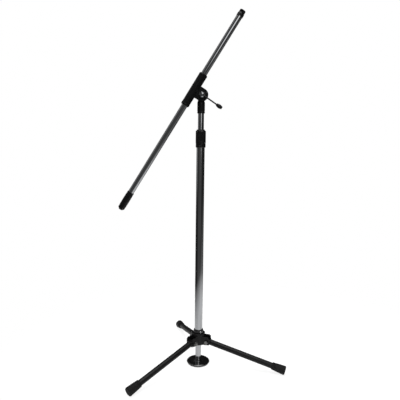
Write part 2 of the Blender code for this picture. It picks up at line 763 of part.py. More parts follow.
def boom_holder(tilt, boom):
    """The moving half: the sleeve that the boom passes through and the arm that joins it to the swivel."""
    sleeve = [
        (0.0, -SLEEVE_HALF_LENGTH),
        (SLEEVE_RADIUS - SLEEVE_EDGE, -SLEEVE_HALF_LENGTH),
        (SLEEVE_RADIUS, -SLEEVE_HALF_LENGTH + SLEEVE_EDGE),
        (SLEEVE_RADIUS, SLEEVE_HALF_LENGTH - SLEEVE_EDGE),
        (SLEEVE_RADIUS - SLEEVE_EDGE, SLEEVE_HALF_LENGTH),
        (0.0, SLEEVE_HALF_LENGTH),
    ]
    in_tilt = tilt.matrix_world.inverted() @ boom.matrix_world
    holder = finished("boom_holder", turned(sleeve, FINE), black_paint(), tilt, in_tilt)
    half = (ARM_FRONT - ARM_BACK) / 2
    combine(holder, "UNION", [finished("arm", extruded(arm_outline(), half), None, boom)])
    through = SLEEVE_HALF_LENGTH + EDGE
    bore = turned(pin_outline(SLEEVE_BORE, -through, through, SMALL_EDGE), FINE)
    hole = swivel_hole(-half - EDGE, half + EDGE)
    across = Matrix.Translation((BOOM_OFFSET, 0.0, 0.0)) @ ALONG_Y
    tools = [finished("sleeve_bore", bore, None, boom), finished("arm_hole", hole, None, boom, across)]
    combine(holder, "DIFFERENCE", tools)


def sleeve_liner(roll):
    """The flanged liner that turns in the sleeve and that the boom slides through."""
    bore = BOOM_RADIUS + GAP
    outer = SLEEVE_BORE - GAP
    end = SLEEVE_HALF_LENGTH + GAP
    flange = LINER_FLANGE_RADIUS
    lip = end + LINER_FLANGE
    outline = [(bore, -lip), (flange, -lip), (flange, -end), (outer, -end), (outer, end), (flange, end)]
    outline += [(flange, lip), (bore, lip)]
    finished("sleeve_liner", turned(outline, MEDIUM, closed=True), black_plastic(), roll)


def lever_washer(lever):
    low = ARM_FRONT + GAP
    bore = SWIVEL_BOLT_RADIUS + BOLT_GAP
    outline = ring_outline(bore, LEVER_WASHER_RADIUS, low, low + LEVER_WASHER, SMALL_EDGE)
    finished("lever_washer", turned(outline, MEDIUM, closed=True), zinc(), lever)


def lever_direction():
    """Out along the lever, in the swivel's frame: Z of the result runs along the lever."""
    depth = Matrix.Translation((0.0, 0.0, LEVER_DEPTH))
    return depth @ Matrix.Rotation(math.radians(-LEVER_ANGLE), 4, "Z") @ ALONG_X


def lever_hub(lever):
    """The chromed boss that screws onto the swivel bolt, cross-drilled for the lever's rod."""
    low = ARM_FRONT + LEVER_WASHER + 2 * GAP
    high = LEVER_DEPTH + LEVER_HUB_ABOVE_ROD
    bore = SWIVEL_BOLT_RADIUS + GAP
    drilled = SWIVEL_BOLT_END + GAP
    outline = [(0.0, drilled), (bore, drilled), (bore, low), (LEVER_FLANGE_RADIUS, low)]
    outline += [(LEVER_FLANGE_RADIUS, low + 2 * EDGE), (LEVER_HUB_RADIUS, low + 3 * EDGE)]
    outline += [(LEVER_HUB_RADIUS, high - EDGE), (LEVER_HUB_RADIUS - EDGE, high), (0.0, high)]
    hub = finished("lever_hub", turned(outline, MEDIUM), chrome(), lever)
    inside, outside = LEVER_ROD_START - BOLT_GAP, LEVER_FLANGE_RADIUS + EDGE
    hole = turned(pin_outline(LEVER_ROD_RADIUS + GAP, inside, outside, GAP), COARSE)
    combine(hub, "DIFFERENCE", [finished("rod_hole", hole, None, lever, lever_direction())])


def lever_rod(lever):
    outline = pin_outline(LEVER_ROD_RADIUS, LEVER_ROD_START, LEVER_ROD_END, SMALL_EDGE)
    finished("lever_rod", turned(outline, COARSE), black_steel(), lever, lever_direction())


def lever_knob(lever):
    """A barrel-shaped knob on the rod's end, bored from its inner end."""
    bore = LEVER_ROD_RADIUS + GAP
    inside = LEVER_ROD_END + GAP
    length = KNOB_END - KNOB_START
    outline = [(0.0, inside), (bore, inside), (bore, KNOB_START)]
    steps = 8
    for step in range(steps + 1):
        angle = math.radians(KNOB_NARROWING + step * (180.0 - 2 * KNOB_NARROWING) / steps)
        along = KNOB_START + length * step / steps
        outline.append((KNOB_RADIUS * math.sin(angle) ** 0.8, along))
    outline.append((0.0, KNOB_END + GAP))
    finished("lever_knob", turned(outline, COARSE), black_plastic(), lever, lever_direction())


def head(slide, tilt, lever, boom):
    swivel_base(slide, lever)
    friction_washer(lever)
    swivel_bolt(lever)
    boom_holder(tilt, boom)
    lever_washer(lever)
    lever_hub(lever)
    lever_rod(lever)
    lever_knob(lever)


# Boom


def boom_tube(boom):
    outline = tube_outline(BOOM_RADIUS, BOOM_WALL, TUBE_LOW_END, TUBE_HIGH_END)
    finished("boom_tube", turned(outline, MEDIUM, closed=True), chrome(), boom)


def boom_weight(boom):
    """A slim weight over the boom's lower end, swelling from both ends to the middle of its length."""
    bore = BOOM_RADIUS + GAP
    shoulder = TUBE_LOW_END - GAP
    hole = CAP_PIN_RADIUS + GAP
    outline = [(bore, WEIGHT_TOP), (bore, shoulder), (hole, shoulder), (hole, WEIGHT_BOTTOM)]
    thinnest = bore + SMALL_EDGE
    taper = WEIGHT_TAPER_END - WEIGHT_TAPER_START
    steps = 8
    for step in range(steps + 1):
        part = step / steps
        swell = math.sin(math.pi * (WEIGHT_TAPER_START + taper * part)) ** 0.7
        along = WEIGHT_BOTTOM + (WEIGHT_TOP - WEIGHT_BOTTOM) * part
        outline.append((thinnest + (WEIGHT_RADIUS - thinnest) * swell, along))
    finished("boom_weight", turned(outline, MEDIUM, closed=True), black_paint(), boom)


def boom_end_cap(boom):
    top = WEIGHT_BOTTOM - GAP
    pin_top = top + CAP_PIN_LENGTH
    outline = [(0.0, BOOM_LOW_END), (CAP_RADIUS - 2.5 * EDGE, BOOM_LOW_END)]
    outline += [(CAP_RADIUS - SMALL_EDGE, BOOM_LOW_END + 1.5 * EDGE), (CAP_RADIUS, top)]
    outline += [(CAP_PIN_RADIUS, top), (CAP_PIN_RADIUS, pin_top), (0.0, pin_top)]
    finished("boom_end_cap", turned(outline, MEDIUM), black_plastic(), boom)


def tip_ring(boom):
    high = TUBE_HIGH_END - TIP_RING_BACK
    outline = ring_outline(BOOM_RADIUS + GAP, TIP_RING_RADIUS, high - TIP_RING_LENGTH, high, SMALL_EDGE / 2)
    finished("tip_ring", turned(outline, MEDIUM, closed=True), black_plastic(), boom)


def tip_thread(boom):
    """The plug in the boom's upper end, with the 5/8 inch stud that takes a microphone clip."""
    plug = BOOM_RADIUS - BOOM_WALL - GAP
    low = TUBE_HIGH_END - STUD_PLUG_LENGTH
    flange = TUBE_HIGH_END + GAP
    outline = [
        (0.0, low),
        (plug - EDGE, low),
        (plug, low + EDGE),
        (plug, flange),
        (STUD_FLANGE_RADIUS, flange),
        (STUD_FLANGE_RADIUS, flange + STUD_FLANGE),
        (THREAD_RADIUS, flange + STUD_FLANGE),
        (THREAD_RADIUS, BOOM_HIGH_END - EDGE),
        (THREAD_RADIUS - EDGE, BOOM_HIGH_END),
        (0.0, BOOM_HIGH_END),
    ]
    finished("tip_thread", turned(outline, MEDIUM), black_steel(), boom)


def boom(slide, roll):
    sleeve_liner(roll)
    boom_tube(slide)
    boom_weight(slide)
    boom_end_cap(slide)
    tip_ring(slide)
    tip_thread(slide)


def boom_stand():
    base = empty("stand_base", Matrix.Identity(4))
    twist = empty("clutch_twist_axis", Matrix.Identity(4))
    turn = empty("column_turn_axis", Matrix.Identity(4))
    column_slide = empty("column_slide_axis", Matrix.Identity(4))
    tripod(base)
    column(base, twist, turn, column_slide)
    tilt = empty("boom_tilt_axis", swivel_frame())
    lever = empty("lever_turn_axis", swivel_frame())
    roll = empty("boom_roll_axis", boom_frame())
    boom_slide = empty("boom_slide_axis", boom_frame())
    head(column_slide, tilt, lever, boom_slide)
    boom(boom_slide, roll)


clear_scene()
boom_stand()
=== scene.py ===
"""The looks of a boom microphone stand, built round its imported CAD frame.

Metres, +Z up. Each piece is made in a frame of its own, with Z along its axis, and is then placed where its
CAD node is. Sizes come from the CAD nodes where a node is turned about an axis.
"""

import json
import math

import bmesh
import bpy
from mathutils import Matrix, Vector

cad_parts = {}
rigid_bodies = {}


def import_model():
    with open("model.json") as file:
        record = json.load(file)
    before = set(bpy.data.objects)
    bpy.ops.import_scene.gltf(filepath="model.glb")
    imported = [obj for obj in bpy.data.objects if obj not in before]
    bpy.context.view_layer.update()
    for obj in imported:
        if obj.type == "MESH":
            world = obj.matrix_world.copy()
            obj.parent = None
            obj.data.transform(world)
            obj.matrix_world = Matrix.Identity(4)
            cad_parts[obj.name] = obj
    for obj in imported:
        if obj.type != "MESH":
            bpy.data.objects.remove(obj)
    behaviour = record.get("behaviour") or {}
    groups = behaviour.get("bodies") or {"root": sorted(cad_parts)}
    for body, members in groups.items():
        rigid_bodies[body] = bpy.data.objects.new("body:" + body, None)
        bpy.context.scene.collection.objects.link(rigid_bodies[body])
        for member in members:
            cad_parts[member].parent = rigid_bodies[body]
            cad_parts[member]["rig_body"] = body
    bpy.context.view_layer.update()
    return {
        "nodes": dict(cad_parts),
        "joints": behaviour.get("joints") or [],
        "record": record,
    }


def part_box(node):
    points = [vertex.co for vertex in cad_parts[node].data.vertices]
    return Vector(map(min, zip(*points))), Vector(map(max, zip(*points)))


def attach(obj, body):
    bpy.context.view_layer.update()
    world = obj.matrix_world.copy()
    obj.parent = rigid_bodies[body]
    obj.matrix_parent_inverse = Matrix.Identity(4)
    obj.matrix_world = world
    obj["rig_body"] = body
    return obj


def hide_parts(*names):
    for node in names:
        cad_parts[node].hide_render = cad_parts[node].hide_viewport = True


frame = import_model()
JOINTS = {joint["name"]: joint for joint in frame["joints"]}

# The gap between pieces that touch, and how far a cutter reaches past the solid that it cuts
GAP = 0.0003
PAST = 0.0100

# Sides of a round piece, of a slimmer one and of a hole
ROUND_SIDES = 96
SLIM_SIDES = 72
HOLE_SIDES = 32

# The mesh attribute that holds each vertex's place in its piece's own frame, which the textures follow
OWN_PLACE = "own_place"

# Pointiness of a nearly flat surface and of a sharp outer edge
FLAT_POINTINESS = 0.51
EDGE_POINTINESS = 0.57

# Directions of an axis that isn't Z
ALONG_X = Matrix.Rotation(math.radians(90.0), 4, "Y")
ALONG_MINUS_Y = Matrix.Rotation(math.radians(90.0), 4, "X")
ALONG_Y = Matrix.Rotation(math.radians(-90.0), 4, "X")
UPRIGHT = Matrix.Identity(4)

# Head
BOOM_LEAN = math.radians(31.7)
LEVER_ANGLE = math.radians(34.0)
LEVER_DEPTH = 0.0246
ARM_OFFSET = 0.0242
ARM_RADIUS = 0.0167
ARM_BACK = 0.0009
ARM_FRONT = 0.0123

# Tripod
LEG_SLOPE = math.radians(14.5)
LUG_ROOT = 0.0040
LUG_REACH = 0.0343
LUG_HALF_WIDTH = 0.0123
LUG_LOW = 0.0598
LUG_HIGH = 0.0832
LUG_CORNER = 0.0044
SLOT_HALF_WIDTH = 0.0085
SLOT_BACK = 0.0169
HUB_RADIUS = 0.0194
TUBE_SEAT = 0.0739
FOOT_ROUNDING = 0.0031
FOOT_FLUTES = 30
FOOT_RINGS = 3
FOOT_RING_STEP = 0.0026
SCREW_AZIMUTH = math.radians(-64.0)

# Clutch, knob and tubes
GRIP_FLUTES = 36
KNOB_FLUTES = 12
COLUMN_WALL = 0.0012
LEG_WALL = 0.0011
BOOM_WALL = 0.0014

# Bores that take the column tube and the thinner tubes, and fasteners that several pieces share
COLUMN_BORE = 0.0113
TUBE_BORE = 0.0083
BOLT_RADIUS = 0.0030
BOLT_HOLE = 0.0033
SWIVEL_HOLE = 0.0034
ACROSS_FLATS = 0.0100
KEY_FLATS = 0.0040
THREAD_PITCH_TIP = 0.000941
THREAD_DEPTH_TIP = 0.00055
THREAD_PITCH_BOLT = 0.001
THREAD_DEPTH_BOLT = 0.0004

# Spacing of the rings that a thread is shaped from
THREAD_STEP = 0.00012
THREAD_STEP_TIP = 0.00011


# Materials


class Surface:
    """A material under construction: its Principled shader and the textures that feed it."""

    def __init__(self, name, metallic=0.0, ior=1.5, specular=0.5, coat=0.0, coat_roughness=0.1):
        self.material = bpy.data.materials.new(name)
        self.material.use_nodes = True
        self.tree = self.material.node_tree
        self.shader = self.tree.nodes["Principled BSDF"]
        self.shader.inputs["Metallic"].default_value = metallic
        self.shader.inputs["IOR"].default_value = ior
        self.shader.inputs["Specular IOR Level"].default_value = specular
        self.shader.inputs["Coat Weight"].default_value = coat
        self.shader.inputs["Coat Roughness"].default_value = coat_roughness
        attribute = self.tree.nodes.new("ShaderNodeAttribute")
        attribute.attribute_name = OWN_PLACE
        self.place = attribute.outputs["Vector"]

    def link(self, source, socket):
        self.tree.links.new(source, socket)

    def noise(self, scale, detail=3.0, stretch=(1.0, 1.0, 1.0), roughness=0.55, distortion=0.0):
        """Noise whose scale times stretch is cycles per metre along each axis."""
        mapping = self.tree.nodes.new("ShaderNodeMapping")
        mapping.inputs["Scale"].default_value = stretch
        self.link(self.place, mapping.inputs["Vector"])
        texture = self.tree.nodes.new("ShaderNodeTexNoise")
        texture.inputs["Scale"].default_value = scale
        texture.inputs["Detail"].default_value = detail
        texture.inputs["Roughness"].default_value = roughness
        texture.inputs["Distortion"].default_value = distortion
        self.link(mapping.outputs["Vector"], texture.inputs["Vector"])
        return texture.outputs["Fac"]

    def cells(self, scale):
        """A flat value in each grain of a crystal pattern."""
        texture = self.tree.nodes.new("ShaderNodeTexVoronoi")
        texture.inputs["Scale"].default_value = scale
        self.link(self.place, texture.inputs["Vector"])
        parts = self.tree.nodes.new("ShaderNodeSeparateColor")
        self.link(texture.outputs["Color"], parts.inputs["Color"])
        return parts.outputs["Red"]

    def edges(self):
        """1 on sharp outer edges and 0 elsewhere."""
        geometry = self.tree.nodes.new("ShaderNodeNewGeometry")
        return self.span(geometry.outputs["Pointiness"], FLAT_POINTINESS, EDGE_POINTINESS, 0.0, 1.0)

    def span(self, source, low, high, to_low, to_high):
        node = self.tree.nodes.new("ShaderNodeMapRange")
        for name, value in (("From Min", low), ("From Max", high), ("To Min", to_low), ("To Max", to_high)):
            node.inputs[name].default_value = value
        self.link(source, node.inputs["Value"])
        return node.outputs["Result"]

    def math(self, operation, first, second):
        node = self.tree.nodes.new("ShaderNodeMath")
        node.operation = operation
        for socket, value in zip(node.inputs, (first, second)):
            if isinstance(value, float):
                socket.default_value = value
            else:
                self.link(value, socket)
        return node.outputs["Value"]

    def blend(self, factor, first, second):
        """A colour between two, each a fixed colour or the result of another blend."""
        node = self.tree.nodes.new("ShaderNodeMix")
        node.data_type = "RGBA"
        self.link(factor, node.inputs[0])
        for socket, colour in ((node.inputs[6], first), (node.inputs[7], second)):
            if isinstance(colour, tuple):
                socket.default_value = (*colour, 1.0)
            else:
                self.link(colour, socket)
        return node.outputs[2]

    def colour(self, source):
        self.link(source, self.shader.inputs["Base Color"])

    def roughness(self, source):
        self.link(source, self.shader.inputs["Roughness"])

    def relief(self, layers):
        """Stacks bumps: each layer is a height, its depth in metres and its strength."""
        normal = None
        for height, depth, strength in layers:
            node = self.tree.nodes.new("ShaderNodeBump")
            node.inputs["Distance"].default_value = depth
            node.inputs["Strength"].default_value = strength
            self.link(height, node.inputs["Height"])
            if normal:
                self.link(normal, node.inputs["Normal"])
            normal = node.outputs["Normal"]
        self.link(normal, self.shader.inputs["Normal"])


def chrome(name, rubbed):
    """Chrome plate: lengthwise draw lines, haze, specks, and fine rings, stronger where rubbed is higher."""
    s = Surface(name, metallic=1.0)
    haze = s.noise(34.0, 4.0, (1.0, 1.0, 0.25))
    lines = s.noise(1.0, 2.0, (2200.0, 2200.0, 7.0))
    specks = s.noise(1500.0, 2.0)
    rings = s.noise(1.0, 3.0, (50.0, 50.0, 4200.0))
    colour = s.blend(s.span(haze, 0.35, 0.7, 0.0, 1.0), (0.52, 0.53, 0.545), (0.60, 0.605, 0.61))
    s.colour(s.blend(s.span(specks, 0.70, 0.80, 0.0, 0.25), colour, (0.36, 0.35, 0.34)))
    rough = s.math("ADD", s.span(haze, 0.3, 0.75, 0.06, 0.13), s.span(lines, 0.5, 0.75, 0.0, 0.05))
    s.roughness(s.math("ADD", rough, s.span(rings, 0.55, 0.8, 0.0, rubbed)))
    s.relief([(lines, 0.00001, 0.06), (rings, 0.000005, rubbed)])
    return s.material


def powder_coat():
    """Black powder coat: fine orange peel, a slightly uneven sheen, and thin wear on the outer edges."""
    s = Surface("powder_coat", ior=1.5, specular=0.30)
    peel = s.noise(1500.0, 2.0, distortion=0.3)
    cloud = s.noise(45.0, 4.0)
    grain = s.noise(5200.0, 1.0)
    worn = s.math("MULTIPLY", s.edges(), s.span(s.noise(420.0, 3.0), 0.45, 0.65, 0.0, 1.0))
    paint = s.blend(s.span(cloud, 0.3, 0.7, 0.0, 1.0), (0.0050, 0.0050, 0.0054), (0.0095, 0.0095, 0.0100))
    s.colour(s.blend(worn, paint, (0.045, 0.045, 0.045)))
    s.roughness(s.math("ADD", s.span(cloud, 0.3, 0.7, 0.36, 0.46), s.span(grain, 0.4, 0.7, 0.0, 0.06)))
    s.relief([(peel, 0.00006, 0.35), (grain, 0.00002, 0.20)])
    return s.material


def enamel():
    """Glossy black stove enamel: long soft waves, pinholes and a little dust."""
    s = Surface("stove_enamel", ior=1.9, coat=1.0, coat_roughness=0.08)
    waves = s.noise(260.0, 2.0)
    dust = s.noise(900.0, 5.0, roughness=0.7)
    pinholes = s.noise(2400.0, 1.0)
    s.colour(s.blend(s.span(dust, 0.60, 0.78, 0.0, 0.5), (0.0050, 0.0050, 0.0055), (0.030, 0.029, 0.027)))
    s.roughness(s.math("ADD", s.span(dust, 0.4, 0.75, 0.12, 0.24), s.span(pinholes, 0.6, 0.8, 0.0, 0.1)))
    s.relief([(waves, 0.00008, 0.08), (pinholes, 0.00001, 0.15)])
    return s.material


def plastic():
    """Moulded black plastic: a satin spark-eroded grain, with faint rub marks."""
    s = Surface("moulded_plastic", ior=1.49)
    grain = s.noise(3400.0, 2.0)
    rub = s.noise(1.0, 3.0, (260.0, 260.0, 900.0))
    cloud = s.noise(60.0, 3.0)
    base = s.blend(s.span(cloud, 0.3, 0.7, 0.0, 1.0), (0.0070, 0.0070, 0.0075), (0.0120, 0.0120, 0.0125))
    s.colour(s.blend(s.span(rub, 0.62, 0.80, 0.0, 0.5), base, (0.030, 0.030, 0.031)))
    s.roughness(s.math("ADD", s.span(grain, 0.35, 0.7, 0.30, 0.40), s.span(rub, 0.6, 0.8, 0.0, 0.10)))
    s.relief([(grain, 0.00003, 0.30)])
    return s.material


def rubber():
    """Black rubber: matt, with a fine tooth, and grey dust held in it."""
    s = Surface("black_rubber", ior=1.52, specular=0.35)
    tooth = s.noise(2600.0, 3.0, roughness=0.7)
    dust = s.noise(95.0, 5.0, roughness=0.65)
    s.colour(s.blend(s.span(dust, 0.52, 0.78, 0.0, 0.7), (0.0075, 0.0075, 0.0078), (0.030, 0.029, 0.027)))
    s.roughness(s.span(dust, 0.3, 0.75, 0.62, 0.85))
    s.relief([(tooth, 0.00005, 0.45)])
    return s.material


def zinc():
    """Dull zinc plate: small crystals and a yellow-grey cast that gathers in patches."""
    s = Surface("zinc_plate", metallic=1.0)
    crystals = s.cells(900.0)
    patches = s.noise(120.0, 3.0)
    base = s.blend(crystals, (0.17, 0.17, 0.165), (0.27, 0.27, 0.265))
    s.colour(s.blend(s.span(patches, 0.5, 0.75, 0.0, 0.5), base, (0.15, 0.14, 0.115)))
    s.roughness(s.math("ADD", s.span(crystals, 0.0, 1.0, 0.26, 0.40), s.span(patches, 0.4, 0.8, 0.0, 0.12)))
    s.relief([(s.noise(2400.0, 3.0), 0.00002, 0.25)])
    return s.material


def dark_steel():
    """Blackened steel: dark oxide, thinner and brighter on the edges, with an oily bloom."""
    s = Surface("blackened_steel", metallic=1.0)
    bloom = s.noise(160.0, 4.0)
    turned_marks = s.noise(1.0, 2.0, (80.0, 80.0, 3600.0))
    oxide = s.blend(s.span(bloom, 0.3, 0.7, 0.0, 1.0), (0.020, 0.020, 0.022), (0.050, 0.048, 0.048))
    s.colour(s.blend(s.math("MULTIPLY", s.edges(), 0.6), oxide, (0.20, 0.20, 0.20)))
    s.roughness(s.span(bloom, 0.3, 0.7, 0.28, 0.42))
    s.relief([(turned_marks, 0.00001, 0.20)])
    return s.material


def fibre():
    """Pressed brown fibre with short tangled strands."""
    s = Surface("friction_fibre", ior=1.45, specular=0.2)
    strands = s.noise(2100.0, 5.0, (1.0, 0.3, 1.0), distortion=1.5)
    s.colour(s.blend(s.span(strands, 0.35, 0.7, 0.0, 1.0), (0.060, 0.040, 0.026), (0.150, 0.105, 0.070)))
    s.roughness(s.span(strands, 0.3, 0.7, 0.75, 0.92))
    s.relief([(strands, 0.00004, 0.5)])
    return s.material


LOOKS = {
    "chrome_plate": chrome("chrome_fixed", 0.02),
    "chrome_rubbed": chrome("chrome_rubbed", 0.07),
    "chrome_satin": chrome("chrome_satin", 0.24),
    "black_powder_coat": powder_coat(),
    "glossy_enamel": enamel(),
    "black_plastic": plastic(),
    "black_rubber": rubber(),
    "zinc_steel": zinc(),
    "blackened_steel": dark_steel(),
    "friction_fibre": fibre(),
}


# Making and placing pieces


def softened(section, radius, closed=False, steps=4):
    """Rounds a section's corners. Ends of an open section stay where they are, on the axis."""
    points = [Vector(point) for point in section]
    count = len(points)
    result = []
    for index, corner in enumerate(points):
        if not closed and index in (0, count - 1):
            result.append(tuple(corner))
            continue
        before, after = points[index - 1], points[(index + 1) % count]
        to_before, to_after = before - corner, after - corner
        reach = min(radius, 0.45 * to_before.length, 0.45 * to_after.length)
        start = corner + to_before.normalized() * reach
        end = corner + to_after.normalized() * reach
        for step in range(steps + 1):
            part = step / steps
            point = start * (1 - part) ** 2 + corner * 2 * part * (1 - part) + end * part**2
            result.append((max(point.x, 0.0), point.y))
    return result


def lathe(section, segments=SLIM_SIDES, closed=False, shape=None):
    """A body turned about Z. shape(radius, angle, height) may change the radius round the turn."""
    builder = bmesh.new()
    rings = []
    for radius, height in section:
        if radius < 1e-7:
            rings.append([builder.verts.new((0.0, 0.0, height))])
            continue
        ring = []
        for step in range(segments):
            angle = math.tau * step / segments
            reach = shape(radius, angle, height) if shape else radius
            ring.append(builder.verts.new((reach * math.cos(angle), reach * math.sin(angle), height)))
        rings.append(ring)
    pairs = list(zip(rings, rings[1:]))
    if closed:
        pairs.append((rings[-1], rings[0]))
    for one, other in pairs:
        for step in range(segments):
            after = (step + 1) % segments
            corners = [one[step % len(one)], one[after % len(one)]]
            corners += [other[after % len(other)], other[step % len(other)]]
            face = list(dict.fromkeys(corners))
            if len(face) > 2:
                builder.faces.new(face)
    return builder


def slab(outline, low, high):
    """A flat outline of (x, z) points, given a thickness along Y."""
    builder = bmesh.new()
    near, far = ([builder.verts.new((x, depth, z)) for x, z in outline] for depth in (low, high))
    builder.faces.new(near)
    builder.faces.new(list(reversed(far)))
    for index in range(len(outline)):
        after = (index + 1) % len(outline)
        builder.faces.new((near[index], far[index], far[after], near[after]))
    return builder


def moved(builder, matrix):
    builder.transform(matrix)
    return builder


def rectangle(left, right, low, high):
    return [(left, low), (right, low), (right, high), (left, high)]


def plug(radius, low, high):
    """A plain solid turned section, for cutting a hole."""
    return [(0.0, low), (radius, low), (radius, high), (0.0, high)]


def arc(centre, radius, start, end, steps):
    points = []
    for step in range(steps + 1):
        angle = math.radians(start + (end - start) * step / steps)
        points.append((centre[0] + radius * math.cos(angle), centre[1] + radius * math.sin(angle)))
    return points


def pin(radius, low, high, edge=0.0004):
    """A solid pin's section with rounded ends."""
    return softened([(0.0, low), (radius, low), (radius, high), (0.0, high)], edge)


def pipe(inner, outer, low, high, edge=0.0004):
    """A tube's or ring's section with rounded edges, to be turned closed."""
    return softened([(inner, low), (outer, low), (outer, high), (inner, high)], edge, closed=True)


def to_mesh(name, builder, sharp=38.0, place=UPRIGHT):
    """Finishes a mesh and carries it into the shared frame. An attribute keeps each vertex's own place."""
    bmesh.ops.recalc_face_normals(builder, faces=builder.faces)
    mesh = bpy.data.meshes.new(name)
    builder.to_mesh(mesh)
    builder.free()
    own = mesh.attributes.new(OWN_PLACE, "FLOAT_VECTOR", "POINT")
    own.data.foreach_set("vector", [value for vertex in mesh.vertices for value in vertex.co])
    mesh.transform(place)
    mesh.shade_smooth()
    mesh.set_sharp_from_angle(angle=math.radians(sharp))
    return mesh


def scratch(builder):
    """A temporary object for a modifier to work on."""
    obj = bpy.data.objects.new("scratch", to_mesh("scratch", builder))
    bpy.context.scene.collection.objects.link(obj)
    return obj


def combine(body, operation, builders):
    """Adds a Boolean modifier for each solid, and returns the temporary objects."""
    others = [scratch(builder) for builder in builders]
    for other in others:
        change = body.modifiers.new(operation, "BOOLEAN")
        change.operation = operation
        change.object = other
        change.solver = "EXACT"
    return others


def carved(parts, cuts=(), voxel=None, soften=0, bores=()):
    """Joins closed solids and cuts others out. A voxel size rounds the edges before the bores are cut."""
    body = scratch(parts[0])
    others = combine(body, "UNION", parts[1:]) + combine(body, "DIFFERENCE", cuts)
    if voxel:
        remesh = body.modifiers.new("remesh", "REMESH")
        remesh.mode = "VOXEL"
        remesh.voxel_size = voxel
        smooth = body.modifiers.new("smooth", "SMOOTH")
        smooth.factor = 0.5
        smooth.iterations = soften
    others += combine(body, "DIFFERENCE", bores)
    evaluated = body.evaluated_get(bpy.context.evaluated_depsgraph_get())
    mesh = bpy.data.meshes.new_from_object(evaluated)
    result = bmesh.new()
    result.from_mesh(mesh)
    for obj in (body, *others):
        bpy.data.objects.remove(obj)
    return result


def piece(name, builder, place, node, look=None, sharp=38.0):
    """Puts a finished mesh where its CAD node is. The node gives its body."""
    row = next(entry for entry in frame["record"]["subparts"] if entry["node"] == node)
    obj = bpy.data.objects.new(name, to_mesh(name, builder, sharp, place))
    bpy.context.scene.collection.objects.link(obj)
    obj.data.materials.append(LOOKS[look or row["material_slot"]])
    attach(obj, frame["nodes"][node]["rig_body"])
    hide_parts(node)
    return obj


def span_of(node, place):
    """A CAD node's lowest and highest point along the Z of a frame, and its largest radius about it."""
    back = place.inverted()
    points = [back @ vertex.co for vertex in frame["nodes"][node].data.vertices]
    heights = [point.z for point in points]
    return min(heights), max(heights), max(math.hypot(point.x, point.y) for point in points)


# Frames of the joints


def frame_at(joint, rotation):
    return Matrix.Translation(Vector(JOINTS[joint]["pos_m"])) @ rotation


def leg_frame(number):
    """At a leg's pivot: X runs out along the leg and Y is the pivot's axis."""
    x, y, z = JOINTS[f"leg_fold_{number}"]["pos_m"]
    turn = Matrix.Rotation(math.atan2(y, x), 4, "Z")
    return Matrix.Translation((x, y, z)) @ turn @ Matrix.Rotation(LEG_SLOPE, 4, "Y")


SWIVEL = frame_at("boom_tilt", ALONG_MINUS_Y)
BOOM = frame_at("boom_roll", Matrix.Rotation(BOOM_LEAN, 4, "Y"))
LEVER = SWIVEL @ Matrix.Translation((0.0, 0.0, LEVER_DEPTH)) @ Matrix.Rotation(-LEVER_ANGLE, 4, "Z") @ ALONG_X


# Shapes round a turned piece


def fluted(count, depth, low, high, fade=0.0012):
    """Shallow scallops round a piece, between two heights, fading out at both."""

    def shape(radius, angle, height):
        inside = min(height - low, high - height) / fade
        strength = max(0.0, min(1.0, inside))
        return radius - depth * strength * (0.5 - 0.5 * math.cos(count * angle))

    return shape


def outside_only(shape, least):
    """Applies a shape only beyond a least radius, so that a bore stays round."""
    return lambda radius, angle, height: shape(radius, angle, height) if radius > least else radius


def hexed(across_flats):
    """Limits a turned head to a hexagon, so its chamfer leaves the usual curves on the flats."""
    half = across_flats / 2
    turn = math.radians(30.0)

    def shape(radius, angle, height):
        return min(radius, half / math.cos((angle + turn) % (2 * turn) - turn))

    return shape


def threaded(pitch, depth, low, high, until):
    """A right-hand thread between two heights, on radii up to a limit."""

    def shape(radius, angle, height):
        if height < low or height > high or radius < until:
            return radius
        phase = (height / pitch - angle / math.tau) % 1.0
        fade = min(1.0, (height - low) / pitch, (high - height) / pitch + 0.25)
        return radius - depth * fade * (1.0 - abs(2.0 * phase - 1.0))

    return shape


def rungs(radius, low, high, step):
    """Closely spaced rings, for a thread or a flute to be shaped from."""
    count = max(2, round((high - low) / step))
    return [(radius, low + (high - low) * index / count) for index in range(count + 1)]


# Tripod


